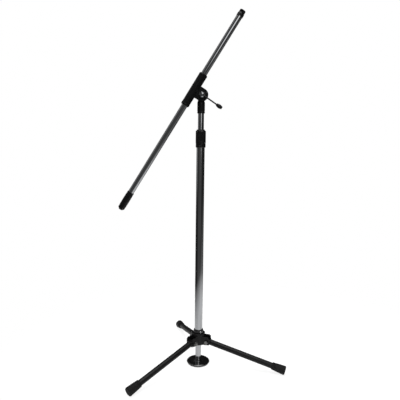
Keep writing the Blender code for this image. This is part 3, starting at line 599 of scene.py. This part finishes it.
def hub():
    """The hub casting: a barrel with three clevis lugs, bored for the column and slotted for the legs."""
    low, high, _ = span_of("hub_body", UPRIGHT)
    parts = [lathe(softened(plug(HUB_RADIUS, low, high), 0.0024), ROUND_SIDES)]
    # Where the cutters end, each place a little past the casting
    bore_low, bore_high = 0.0500, 0.1200
    slot_low, slot_high, slot_front = 0.0450, 0.1050, 0.0550
    through = 0.0200
    bore = [(0.0, bore_low), (TUBE_BORE, bore_low), (TUBE_BORE, TUBE_SEAT), (COLUMN_BORE, TUBE_SEAT)]
    bore += [(COLUMN_BORE, bore_high), (0.0, bore_high)]
    bores = [lathe(bore, ROUND_SIDES)]
    cuts = []
    outline = [(LUG_ROOT, LUG_LOW), (LUG_REACH - LUG_CORNER, LUG_LOW), (LUG_REACH, LUG_LOW + LUG_CORNER)]
    outline += [(LUG_REACH, LUG_HIGH - LUG_CORNER), (LUG_REACH - LUG_CORNER, LUG_HIGH), (LUG_ROOT, LUG_HIGH)]
    for number in (1, 2, 3):
        x, y, z = JOINTS[f"leg_fold_{number}"]["pos_m"]
        turn = Matrix.Rotation(math.atan2(y, x), 4, "Z")
        reach = math.hypot(x, y)
        parts.append(moved(slab(outline, -LUG_HALF_WIDTH, LUG_HALF_WIDTH), turn))
        slot_outline = rectangle(SLOT_BACK, slot_front, slot_low, slot_high)
        slot = slab(slot_outline, -SLOT_HALF_WIDTH, SLOT_HALF_WIDTH)
        cuts.append(moved(slot, turn))
        hole = lathe(plug(BOLT_HOLE, -through, through), HOLE_SIDES)
        bores.append(moved(hole, turn @ Matrix.Translation((reach, 0.0, z)) @ ALONG_Y))
    casting = carved(parts, cuts, voxel=0.0007, soften=5, bores=bores)
    piece("hub_casting", casting, UPRIGHT, "hub_body", sharp=60.0)


def screw_place():
    """At the collar's screw, with Z running straight out of the collar."""
    low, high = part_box("hub_set_screw")
    turn = Matrix.Rotation(SCREW_AZIMUTH, 4, "Z")
    return turn @ Matrix.Translation((0.0, 0.0, (low.z + high.z) / 2)) @ ALONG_X


def collar():
    """The plastic collar on the hub, drilled for its screw."""
    low, high, radius = span_of("hub_collar", UPRIGHT)
    neck_radius = radius - 0.0010
    section = [(COLUMN_BORE, low), (radius, low), (radius, high - 0.0019), (neck_radius, high - 0.0013)]
    section += [(neck_radius, high), (COLUMN_BORE, high)]
    hole = moved(lathe(plug(0.0025, 0.0090, 0.0200), HOLE_SIDES), screw_place())
    ring = carved([lathe(softened(section, 0.0006, True), ROUND_SIDES, True)], [hole])
    piece("column_collar", ring, UPRIGHT, "hub_collar")


def collar_screw():
    """A round-headed screw with a slot across its head."""
    place = screw_place()
    tip, end, radius = span_of("hub_set_screw", place)
    seat = span_of("hub_collar", UPRIGHT)[2] + GAP
    shank = 0.0022
    rim = end - 0.0014
    section = [(0.0, tip), (shank, tip), (shank, seat), (radius, seat), (radius, rim), (0.0, end)]
    across = slab(rectangle(-0.0005, 0.0005, rim, end + PAST), -PAST, PAST)
    screw = carved([lathe(softened(section, 0.0010), 48)], [across])
    piece("collar_screw", screw, place, "hub_set_screw", sharp=30.0)


def leg_root(number):
    """The knuckle: a rounded block with a spigot that goes into the leg's tube."""
    place = leg_frame(number)
    slope = math.degrees(LEG_SLOPE)
    radius, half, length = 0.0082, 0.0081, 0.0092
    heel = (-radius * math.cos(LEG_SLOPE), -radius * math.sin(LEG_SLOPE))
    drop = (half + heel[1]) / math.cos(LEG_SLOPE)
    outline = [(heel[0] + drop * math.sin(LEG_SLOPE), -half), heel]
    outline += arc((0.0, 0.0), radius, 180.0 + slope, 90.0, 18)[1:]
    outline += [(length, radius), (length, -half)]
    spigot = moved(lathe(pin(0.0066, length - 0.0030, length + 0.0194), 48), ALONG_X)
    hole = moved(lathe(plug(BOLT_HOLE, -0.0120, 0.0120), HOLE_SIDES), ALONG_Y)
    knuckle = carved([slab(outline, -half, half), spigot], voxel=0.0005, soften=4, bores=[hole])
    piece(f"leg_knuckle_{number}", knuckle, place, f"leg_root_{number}", sharp=60.0)


def leg_tube(number):
    place = leg_frame(number) @ ALONG_X
    low, high, radius = span_of(f"leg_tube_{number}", place)
    section = pipe(radius - LEG_WALL, radius, low, high, 0.0005)
    piece(f"leg_pole_{number}", lathe(section, SLIM_SIDES, True), place, f"leg_tube_{number}")


def rubber_foot(number):
    """A flared rubber foot: grip rings near its mouth, shallow flutes below them and a dished end."""
    place = leg_frame(number) @ ALONG_X
    low, high, radius = span_of(f"rubber_foot_{number}", place)
    mouth = 0.0101
    tube_end = high - 0.0057

    def wall(height):
        return mouth + (radius - mouth) * (height - low) / (high - low)

    section = [(0.0, tube_end), (TUBE_BORE, tube_end), (TUBE_BORE, low), (mouth - 0.0003, low)]
    for ring in range(FOOT_RINGS):
        start = low + 0.0012 + ring * FOOT_RING_STEP
        groove = wall(start) - 0.0007
        section += [(wall(start), start), (wall(start), start + 0.0010), (groove, start + 0.0014)]
        section += [(groove, start + 0.0022)]
    section += [(wall(height), height) for _, height in rungs(0.0, low + 0.0096, high - 0.0036, 0.0010)]
    section += arc((radius - FOOT_ROUNDING, high - FOOT_ROUNDING), FOOT_ROUNDING, 0.0, 90.0, 12)
    section += [(0.0052, high), (0.0042, high - 0.0009), (0.0, high - 0.0011)]
    flutes = fluted(FOOT_FLUTES, 0.00035, low + 0.0110, high - 0.0040, 0.0020)
    section = softened(section, 0.0003, steps=2)
    shape = outside_only(flutes, TUBE_BORE + 0.0009)
    builder = lathe(section, 6 * FOOT_FLUTES, False, shape)
    piece(f"foot_{number}", builder, place, f"rubber_foot_{number}", sharp=50.0)


def leg_bolt(number):
    """The hexagon bolt that a leg turns on, and the thread that stands out of its nut."""
    place = leg_frame(number) @ ALONG_Y
    low, high, _ = span_of(f"leg_pivot_bolt_{number}", place)
    seat = -LUG_HALF_WIDTH - GAP
    thread_start = high - 0.0060
    section = [(0.0, low + 0.0003), (0.0040, low + 0.0003), (0.0042, low), (0.0049, low)]
    section += [(0.0054, low + 0.0004), (0.0058, low + 0.0008), (0.0058, seat), (BOLT_RADIUS, seat)]
    section += rungs(BOLT_RADIUS, seat + 0.0002, thread_start - 0.0002, 0.0040)
    section += rungs(BOLT_RADIUS, thread_start, high - 0.0005, THREAD_STEP)
    section += [(0.0025, high), (0.0, high)]
    hexagon = hexed(ACROSS_FLATS)
    thread = threaded(THREAD_PITCH_BOLT, THREAD_DEPTH_BOLT, thread_start, high - 0.0005, 0.0028)

    def shape(radius, angle, height):
        if height <= seat + 1e-6:
            return hexagon(radius, angle, height)
        return thread(radius, angle, height)

    bolt = lathe(section, SLIM_SIDES, False, shape)
    piece(f"leg_bolt_{number}", bolt, place, f"leg_pivot_bolt_{number}", sharp=30.0)


def leg_nut(number):
    place = leg_frame(number) @ ALONG_Y
    low, high, _ = span_of(f"leg_pivot_nut_{number}", place)
    section = [(BOLT_HOLE, low), (0.0056, low), (0.0058, low + 0.0004), (0.0058, high - 0.0008)]
    section += [(0.0052, high), (0.0037, high), (BOLT_HOLE, high - 0.0004)]
    builder = lathe(section, SLIM_SIDES, True, hexed(ACROSS_FLATS))
    piece(f"leg_nut_{number}", builder, place, f"leg_pivot_nut_{number}", sharp=30.0)


def centre_foot():
    """The chromed rod, and the round iron foot on it with its rubber pad."""
    low, high, radius = span_of("centre_rod", UPRIGHT)
    screw_end, bore = 0.0299, 0.0038
    section = [(0.0, screw_end), (bore, screw_end), (bore, low), (radius, low), (radius, high), (0.0, high)]
    piece("foot_rod", lathe(softened(section, 0.0006), SLIM_SIDES), UPRIGHT, "centre_rod")
    low, high, radius = span_of("round_foot", UPRIGHT)
    top = high - 0.0014
    section = [(bore, high), (bore, 0.0063), (0.0077, low), (radius - 0.0026, low)]
    section += [(radius, low + 0.0028), (radius, low + 0.0034), (radius - 0.0022, top), (0.0160, top)]
    section += [(0.0152, top - 0.0004), (0.0144, top), (0.0118, top), (0.0106, high)]
    plate = lathe(softened(section, 0.0006, True), 128, True)
    piece("foot_plate", plate, UPRIGHT, "round_foot", "glossy_enamel")
    low, high, radius = span_of("round_foot_pad", UPRIGHT)
    section = [(0.0, low + 0.0004), (0.0080, low + 0.0004), (0.0084, low), (0.0180, low)]
    section += [(0.0184, low + 0.0006), (0.0196, low + 0.0006), (0.0200, low), (radius - 0.0008, low)]
    section += [(radius, low + 0.0008), (radius, high), (0.0, high)]
    piece("foot_pad", lathe(softened(section, 0.0003), 128), UPRIGHT, "round_foot_pad")


def foot_screw():
    """The countersunk screw under the round foot: a hexagon socket in its head and a thread in the rod."""
    low, high, radius = span_of("round_foot_screw", UPRIGHT)
    key = KEY_FLATS / math.sqrt(3.0)
    shank = 0.0034
    socket, start, end = low + 0.0026, low + 0.0060, high - 0.0006
    section = [(0.0, socket), (key, socket), (key, low), (radius, low), (shank, low + 0.0037)]
    section += [*rungs(shank, start, end, THREAD_STEP), (0.0028, high), (0.0, high)]
    flats = hexed(KEY_FLATS)
    thread = threaded(THREAD_PITCH_BOLT, THREAD_DEPTH_BOLT, start, end, 0.0032)

    def shape(reach, angle, height):
        return flats(reach, angle, height) if reach < 0.0025 else thread(reach, angle, height)

    piece("foot_screw", lathe(section, SLIM_SIDES, False, shape), UPRIGHT, "round_foot_screw", sharp=30.0)


def tripod():
    hub()
    collar()
    collar_screw()
    centre_foot()
    foot_screw()
    for number in (1, 2, 3):
        leg_root(number)
        leg_tube(number)
        rubber_foot(number)
        leg_bolt(number)
        leg_nut(number)


# Column


def column_tubes():
    low, high, radius = span_of("main_tube", UPRIGHT)
    section = pipe(radius - COLUMN_WALL, radius, low, high)
    piece("column_tube", lathe(section, ROUND_SIDES, True), UPRIGHT, "main_tube")
    low, high, radius = span_of("extension_tube", UPRIGHT)
    section = pipe(radius - COLUMN_WALL, radius, low, high)
    piece("column_extension", lathe(section, ROUND_SIDES, True), UPRIGHT, "extension_tube", "chrome_rubbed")


def clutch():
    """The twist clutch: a plain lower cap with two grooves, a fluted grip and a top ring."""
    low, high, radius = span_of("clutch_body", UPRIGHT)
    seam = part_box("clutch_grip")[0].z - GAP
    section = [(COLUMN_BORE, low), (radius - 0.0010, low), (radius, low + 0.0010)]
    for start in (low + 0.0030, low + 0.0060):
        section += [(radius, start), (radius - 0.0004, start + 0.0002), (radius - 0.0004, start + 0.0008)]
        section += [(radius, start + 0.0010)]
    spigot, throat, shoulder = 0.0119, 0.0096, high - 0.0226
    section += [(radius, seam), (spigot, seam), (spigot, high), (0.0107, high)]
    section += [(throat, high - 0.0124), (throat, shoulder), (COLUMN_BORE, shoulder)]
    piece("clutch_cap", lathe(softened(section, 0.0003, True, 2), ROUND_SIDES, True), UPRIGHT, "clutch_body")
    low, high, radius = span_of("clutch_grip", UPRIGHT)
    mouth, inner, ledge = 0.0122, 0.0085, high - 0.0058
    section = [(mouth, low), (radius - 0.0007, low), (radius, low + 0.0007), (radius, low + 0.0028)]
    section += rungs(radius, low + 0.0032, high - 0.0046, 0.0012)
    section += [(radius, high - 0.0040), (radius, high - 0.0018), (radius - 0.0018, high), (inner, high)]
    section += [(inner, ledge), (mouth, ledge)]
    flutes = fluted(GRIP_FLUTES, 0.00045, low + 0.0032, high - 0.0046, 0.0016)
    section = softened(section, 0.0004, True, 2)
    builder = lathe(section, 8 * GRIP_FLUTES, True, outside_only(flutes, 0.0128))
    piece("clutch_sleeve", builder, UPRIGHT, "clutch_grip", sharp=50.0)
    low, high, radius = span_of("clutch_top_ring", UPRIGHT)
    section = pipe(0.0084, radius, low, high, 0.0010)
    piece("clutch_lip", lathe(section, ROUND_SIDES, True), UPRIGHT, "clutch_top_ring")


def neck():
    low, high, radius = span_of("neck_socket", UPRIGHT)
    section = [(TUBE_BORE, low), (radius - 0.0006, low), (radius, low + 0.0008), (radius, low + 0.0042)]
    groove = radius - 0.0005
    section += [(groove, low + 0.0046), (groove, low + 0.0056), (radius, low + 0.0060)]
    section += [(radius, high - 0.0008), (radius - 0.0008, high), (TUBE_BORE, high)]
    piece("neck", lathe(softened(section, 0.0003, True, 2), ROUND_SIDES, True), UPRIGHT, "neck_socket")


def collet():
    """The split cone in the clutch."""
    low, high, radius = span_of("clutch_collet", UPRIGHT)
    section = [(TUBE_BORE, low), (0.0093, low), (0.0104, low + 0.0114), (radius, low + 0.0117)]
    section += [(radius, high), (TUBE_BORE, high)]
    split = slab(rectangle(0.0, 0.0200, low - PAST, high + PAST), -0.0007, 0.0007)
    cone = carved([lathe(softened(section, 0.0003, True), ROUND_SIDES, True)], [split])
    piece("clutch_cone", cone, UPRIGHT, "clutch_collet")


def bush():
    """The bush on the extension's lower end, with two grooves that hold grease."""
    low, high, radius = span_of("guide_bush", UPRIGHT)
    seat = span_of("extension_tube", UPRIGHT)[0] - GAP
    bore = 0.0062
    section = [(bore, low), (radius - 0.0009, low), (radius, low + 0.0009)]
    for start in (low + 0.0080, low + 0.0160):
        section += [(radius, start), (radius - 0.0004, start + 0.0003), (radius - 0.0004, start + 0.0017)]
        section += [(radius, start + 0.0020)]
    section += [(radius, high), (TUBE_BORE, high), (TUBE_BORE, seat), (bore, seat)]
    piece("column_bush", lathe(softened(section, 0.0003, True, 2), ROUND_SIDES, True), UPRIGHT, "guide_bush")


def column():
    column_tubes()
    clutch()
    collet()
    bush()
    neck()


# Swivel head


def head_base():
    """The fixed half: its stem, the flange on the neck, a post and the disc behind the boom's arm."""
    _, neck_top, flange_radius = span_of("neck_socket", UPRIGHT)
    centre = Vector(JOINTS["boom_tilt"]["pos_m"])
    flange = neck_top + GAP
    radius, stem_low, flange_top = 0.0063, neck_top - 0.0200, neck_top + 0.0015
    stem = [(0.0, stem_low), (radius, stem_low), (radius, flange), (flange_radius, flange)]
    stem += [(flange_radius, flange_top), (0.0, flange_top)]
    disc = lathe(softened(plug(0.0150, -0.0106, -ARM_BACK), 0.0012), ROUND_SIDES)
    post = slab(rectangle(-0.0086, 0.0086, neck_top + 0.0005, centre.z), ARM_BACK, 0.0075)
    dish = lathe(plug(0.0118, -0.0200, -0.0097), 64)
    hole = lathe(plug(SWIVEL_HOLE, -0.0300, 0.0200), HOLE_SIDES)
    parts = [lathe(stem, 64), moved(disc, SWIVEL), post]
    base = carved(parts, [moved(dish, SWIVEL)], voxel=0.0005, soften=4, bores=[moved(hole, SWIVEL)])
    piece("head_base", base, UPRIGHT, "swivel_base", sharp=60.0)


def boom_clamp():
    """The moving half: a sleeve round the boom, blended into the arm that turns on the swivel."""
    low, high, _ = span_of("boom_holder", BOOM)
    outer = 0.0116
    rim = 0.0034
    sleeve = [(0.0, low), (outer, low), (outer, low + rim), (outer - 0.0004, low + rim + 0.0006)]
    sleeve += [(outer - 0.0004, high - rim - 0.0006), (outer, high - rim), (outer, high), (0.0, high)]
    arm = [(0.0, -ARM_RADIUS), *arc((ARM_OFFSET, 0.0), ARM_RADIUS, -90.0, 90.0, 40), (0.0, ARM_RADIUS)]
    half = (ARM_FRONT - ARM_BACK) / 2
    groove = lathe(rectangle(0.0112, 0.0122, half - 0.0005, half + PAST), SLIM_SIDES, True)
    across = Matrix.Translation((ARM_OFFSET, 0.0, 0.0)) @ ALONG_MINUS_Y
    bore = lathe(plug(0.0098, low - PAST, high + PAST), ROUND_SIDES)
    hole = lathe(plug(SWIVEL_HOLE, -0.0300, 0.0300), HOLE_SIDES)
    parts = [lathe(softened(sleeve, 0.0008), ROUND_SIDES), slab(arm, -half, half)]
    bores = [bore, moved(hole, across)]
    clamp = carved(parts, [moved(groove, across)], voxel=0.0006, soften=6, bores=bores)
    piece("boom_clamp", clamp, BOOM, "boom_holder", sharp=60.0)


def clamp_liner():
    """The plastic liner between the sleeve and the boom, with a lip at each end."""
    low, high, radius = span_of("sleeve_liner", BOOM)
    lip, waist = 0.0011, 0.0095
    section = [(TUBE_BORE, low), (radius, low), (radius, low + lip), (waist, low + lip)]
    section += [(waist, high - lip), (radius, high - lip), (radius, high), (TUBE_BORE, high)]
    piece("clamp_liner", lathe(softened(section, 0.0003, True), ROUND_SIDES, True), BOOM, "sleeve_liner")


def lever():
    """The clamp lever: washer, chromed boss, thin rod and a barrel-shaped knob."""
    low, high, radius = span_of("lever_washer", SWIVEL)
    washer = lathe(pipe(SWIVEL_HOLE, radius, low, high, 0.0003), SLIM_SIDES, True)
    piece("clamp_washer", washer, SWIVEL, "lever_washer")
    boss()
    low, high, radius = span_of("lever_rod", LEVER)
    piece("clamp_rod", lathe(pin(radius, low, high), 40), LEVER, "lever_rod")
    knob()


def boss():
    """The domed boss, drilled for the swivel bolt and across for the lever's rod."""
    low, high, radius = span_of("lever_hub", SWIVEL)
    drilled = span_of("swivel_bolt", SWIVEL)[1] + GAP
    start, _, rod = span_of("lever_rod", LEVER)
    flange = [(BOLT_HOLE, low), (radius, low), (radius, low + 0.0018), (0.0055, low + 0.0026)]
    dome_radius = 0.0120
    dome = arc((0.0, high - dome_radius), dome_radius, 63.0, 90.0, 14)
    section = [(0.0, drilled), *softened([(BOLT_HOLE, drilled), *flange], 0.0006), *dome[:-1], (0.0, high)]
    cross = moved(lathe(plug(rod + GAP, start - GAP, radius + 0.0010), HOLE_SIDES), SWIVEL.inverted() @ LEVER)
    solid = carved([lathe(section, SLIM_SIDES)], [cross])
    piece("clamp_boss", solid, SWIVEL, "lever_hub", "chrome_satin", sharp=30.0)


def knob():
    """The knob on the lever: a barrel with shallow flutes, bored for the rod."""
    low, high, radius = span_of("lever_knob", LEVER)
    length = high - low
    bore, rod_end, steps = 0.0021, low + 0.0145, 16
    section = [(0.0, rod_end), (bore, rod_end), (bore, low), (0.0028, low)]
    for step in range(steps + 1):
        angle = math.radians(32.0 + step * 7.0)
        section.append((radius * math.sin(angle) ** 0.8, low + 0.0003 + (length - 0.0006) * step / steps))
    section += [(0.0022, high), (0.0, high)]
    flutes = fluted(KNOB_FLUTES, 0.00025, low + 0.0025, high - 0.0040, 0.0025)
    builder = lathe(section, 8 * KNOB_FLUTES, False, outside_only(flutes, 0.0030))
    piece("clamp_knob", builder, LEVER, "lever_knob", sharp=50.0)


def swivel_bolt():
    """The bolt through both halves: a domed head behind, with a hexagon socket."""
    low, high, radius = span_of("swivel_bolt", SWIVEL)
    dome = 0.0040
    section = [(0.0, low)]
    for degrees in range(10, 90, 10):
        angle = math.radians(degrees)
        section.append((radius * math.sin(angle), low + dome * (1.0 - math.cos(angle))))
    section += [(radius, low + dome), (BOLT_RADIUS, low + dome), (BOLT_RADIUS, high - 0.0007)]
    section += [(0.0025, high), (0.0, high)]
    key = lathe(plug(KEY_FLATS / math.sqrt(3.0), low - PAST, low + 0.0026), 6)
    piece("head_bolt", carved([lathe(section, 64)], [key]), SWIVEL, "swivel_bolt", sharp=35.0)


def friction_disc():
    low, high, radius = span_of("friction_washer", SWIVEL)
    section = pipe(SWIVEL_HOLE, radius, low, high, 0.0002)
    piece("head_friction_disc", lathe(section, ROUND_SIDES, True), SWIVEL, "friction_washer")


def head():
    head_base()
    friction_disc()
    boom_clamp()
    clamp_liner()
    swivel_bolt()
    lever()


# Boom


def boom():
    low, high, radius = span_of("boom_tube", BOOM)
    section = pipe(radius - BOOM_WALL, radius, low, high)
    piece("boom_pole", lathe(section, ROUND_SIDES, True), BOOM, "boom_tube", "chrome_rubbed")
    weight()
    low, high, radius = span_of("tip_ring", BOOM)
    groove = radius - 0.0003
    section = [(TUBE_BORE, low), (radius, low), (radius, low + 0.0020), (groove, low + 0.0023)]
    section += [(groove, low + 0.0031), (radius, low + 0.0034), (radius, high), (TUBE_BORE, high)]
    piece("tip_band", lathe(softened(section, 0.0002, True, 2), ROUND_SIDES, True), BOOM, "tip_ring")
    stud()


def weight():
    """The slim counterweight with a groove at each end of its barrel, and its cap."""
    low, high, radius = span_of("boom_weight", BOOM)
    bore = TUBE_BORE
    tube_end = span_of("boom_tube", BOOM)[0] - GAP
    core, steps = 0.0029, 40
    section = [(bore, high), (bore, tube_end), (core, tube_end), (core, low)]
    for step in range(steps + 1):
        part = step / steps
        swell = math.sin(math.pi * (0.10 + 0.82 * part)) ** 0.7
        reach = bore + 0.0003 + (radius - bore - 0.0003) * swell
        near_groove = min(abs(part - 0.09), abs(part - 0.91)) < 0.012
        section.append((reach - (0.00035 if near_groove else 0.0), low + (high - low) * part))
    builder = lathe(softened(section, 0.0003, True, 2), ROUND_SIDES, True)
    piece("counterweight", builder, BOOM, "boom_weight", sharp=50.0)
    low, high, radius = span_of("boom_end_cap", BOOM)
    rim, peg = high - 0.0057, 0.0026
    section = [(0.0, low + 0.0003), (0.0030, low + 0.0003), (0.0034, low), (0.0046, low)]
    section += [(radius - 0.0004, low + 0.0014), (radius, rim), (peg, rim), (peg, high), (0.0, high)]
    piece("boom_cap", lathe(softened(section, 0.0004), ROUND_SIDES), BOOM, "boom_end_cap")


def stud():
    """The plug in the boom's upper end, with its flange and the right-hand 27 per inch thread."""
    low, high, flange_radius = span_of("tip_thread", BOOM)
    flange = span_of("boom_tube", BOOM)[1] + GAP
    start = flange + 0.0011
    crest, body = 0.00794, 0.0063
    section = [(0.0, low), (0.0055, low), (body, low + 0.0008), (body, flange), (flange_radius, flange)]
    section += [(flange_radius, start - 0.0002), (flange_radius - 0.0002, start), (crest - 0.0006, start)]
    section += rungs(crest, start + 0.0002, high - 0.0007, THREAD_STEP_TIP)
    section += [(crest - 0.0009, high), (0.0, high)]
    shape = threaded(THREAD_PITCH_TIP, THREAD_DEPTH_TIP, start + 0.0002, high - 0.0007, crest - 0.0001)
    piece("stud", lathe(section, 80, False, shape), BOOM, "tip_thread", sharp=60.0)


# Studio

# The floor keeps its density as far as FLOOR_SOLID from the middle of its patch, and is clear at FLOOR_FADED
FLOOR_RADIUS = 0.95
FLOOR_DROP = 0.0002
FLOOR_MIDDLE = (0.12, 0.0, 0.0)
FLOOR_FADED = 0.72
FLOOR_SOLID = 0.30
FLOOR_DENSITY = 0.55
FLOOR_GLOW = 0.75

# What reflections see where no soft box is
ROOM_LEVEL = 0.02

CAMERA_PLACE = (0.0, -1.1799, 0.6291)
CAMERA_DOWN = 0.1349
CAMERA_ROLL = 0.012
CAMERA_LENS = 39.37

# Soft boxes of the room: the way to each, the cosines where it is full and where it ends, and its strength
SOFT_BOXES = [
    ((0.30, -0.88, 0.46), 0.966, 0.925, 1.00),
    ((-0.78, 0.25, 0.57), 0.788, 0.719, 0.20),
    ((-0.10, -1.00, -0.10), 0.820, 0.570, 0.05),
    ((0.50, 0.00, -0.90), 0.766, 0.500, 0.14),
    ((0.00, -0.10, 1.00), 0.940, 0.800, 1.30),
]


def lobes(tree, direction, items, floor_level):
    """Sums soft patches of light round a direction, each (towards, full cosine, zero cosine, strength)."""
    total = None
    for towards, full, zero, strength in items:
        dot = tree.nodes.new("ShaderNodeVectorMath")
        dot.operation = "DOT_PRODUCT"
        dot.inputs[1].default_value = Vector(towards).normalized()
        tree.links.new(direction, dot.inputs[0])
        patch = tree.nodes.new("ShaderNodeMapRange")
        patch.interpolation_type = "SMOOTHSTEP"
        for name, value in (("From Min", zero), ("From Max", full), ("To Min", 0.0), ("To Max", strength)):
            patch.inputs[name].default_value = value
        tree.links.new(dot.outputs["Value"], patch.inputs["Value"])
        join = tree.nodes.new("ShaderNodeMath")
        join.operation = "ADD"
        tree.links.new(patch.outputs["Result"], join.inputs[0])
        if total is None:
            join.inputs[1].default_value = floor_level
        else:
            tree.links.new(total, join.inputs[1])
        total = join.outputs["Value"]
    return total


def world():
    """A white surround for the camera. Reflections see a dim room with soft boxes round it."""
    made = bpy.data.worlds.new("studio")
    bpy.context.scene.world = made
    made.use_nodes = True
    tree = made.node_tree
    tree.nodes.clear()
    direction = tree.nodes.new("ShaderNodeTexCoord").outputs["Generated"]
    light = tree.nodes.new("ShaderNodeBackground")
    tree.links.new(lobes(tree, direction, SOFT_BOXES, ROOM_LEVEL), light.inputs["Strength"])
    plain = tree.nodes.new("ShaderNodeBackground")
    plain.inputs["Strength"].default_value = 1.0
    for node in (light, plain):
        node.inputs["Color"].default_value = (1.0, 1.0, 1.0, 1.0)
    mix = tree.nodes.new("ShaderNodeMixShader")
    tree.links.new(tree.nodes.new("ShaderNodeLightPath").outputs["Is Camera Ray"], mix.inputs["Fac"])
    tree.links.new(light.outputs["Background"], mix.inputs[1])
    tree.links.new(plain.outputs["Background"], mix.inputs[2])
    output = tree.nodes.new("ShaderNodeOutputWorld")
    tree.links.new(mix.outputs["Shader"], output.inputs["Surface"])


def floor():
    """A pale round floor that fades out into the surround."""
    builder = bmesh.new()
    bmesh.ops.create_circle(builder, cap_ends=True, segments=128, radius=FLOOR_RADIUS)
    obj = bpy.data.objects.new("studio_floor", to_mesh("studio_floor", builder))
    obj.location.z = -FLOOR_DROP
    bpy.context.scene.collection.objects.link(obj)
    s = Surface("pale_floor", specular=0.1)
    s.shader.inputs["Base Color"].default_value = (0.86, 0.86, 0.86, 1.0)
    s.shader.inputs["Roughness"].default_value = 0.9
    s.shader.inputs["Emission Color"].default_value = (1.0, 1.0, 1.0, 1.0)
    s.shader.inputs["Emission Strength"].default_value = FLOOR_GLOW
    reach = s.tree.nodes.new("ShaderNodeVectorMath")
    reach.operation = "DISTANCE"
    reach.inputs[1].default_value = FLOOR_MIDDLE
    s.link(s.place, reach.inputs[0])
    fade = s.span(reach.outputs["Value"], FLOOR_SOLID, FLOOR_FADED, FLOOR_DENSITY, 0.0)
    s.link(fade, s.shader.inputs["Alpha"])
    obj.data.materials.append(s.material)


def soft_box(name, location, target, size, energy):
    data = bpy.data.lights.new(name, "AREA")
    data.shape = "RECTANGLE"
    data.size, data.size_y = size
    data.energy = energy
    obj = bpy.data.objects.new(name, data)
    aim = (Vector(target) - Vector(location)).to_track_quat("-Z", "Y")
    obj.matrix_world = Matrix.Translation(location) @ aim.to_matrix().to_4x4()
    bpy.context.scene.collection.objects.link(obj)


def camera():
    """Stands in front, a little above the middle of the stand, and looks slightly down."""
    data = bpy.data.cameras.new("camera")
    data.sensor_width = 36.0
    data.lens = CAMERA_LENS
    data.clip_start = 0.01
    obj = bpy.data.objects.new("camera", data)
    tilt = Matrix.Rotation(math.radians(90.0) - CAMERA_DOWN, 4, "X")
    roll = Matrix.Rotation(CAMERA_ROLL, 4, "Z")
    obj.matrix_world = Matrix.Translation(CAMERA_PLACE) @ tilt @ roll
    bpy.context.scene.collection.objects.link(obj)
    bpy.context.scene.camera = obj


def studio():
    world()
    floor()
    soft_box("overhead", (0.1, -0.2, 2.1), (0.0, 0.0, 0.0), (1.2, 1.2), 8.0)
    bpy.context.scene.view_settings.view_transform = "Standard"
    camera()


tripod()
column()
head()
boom()
studio()
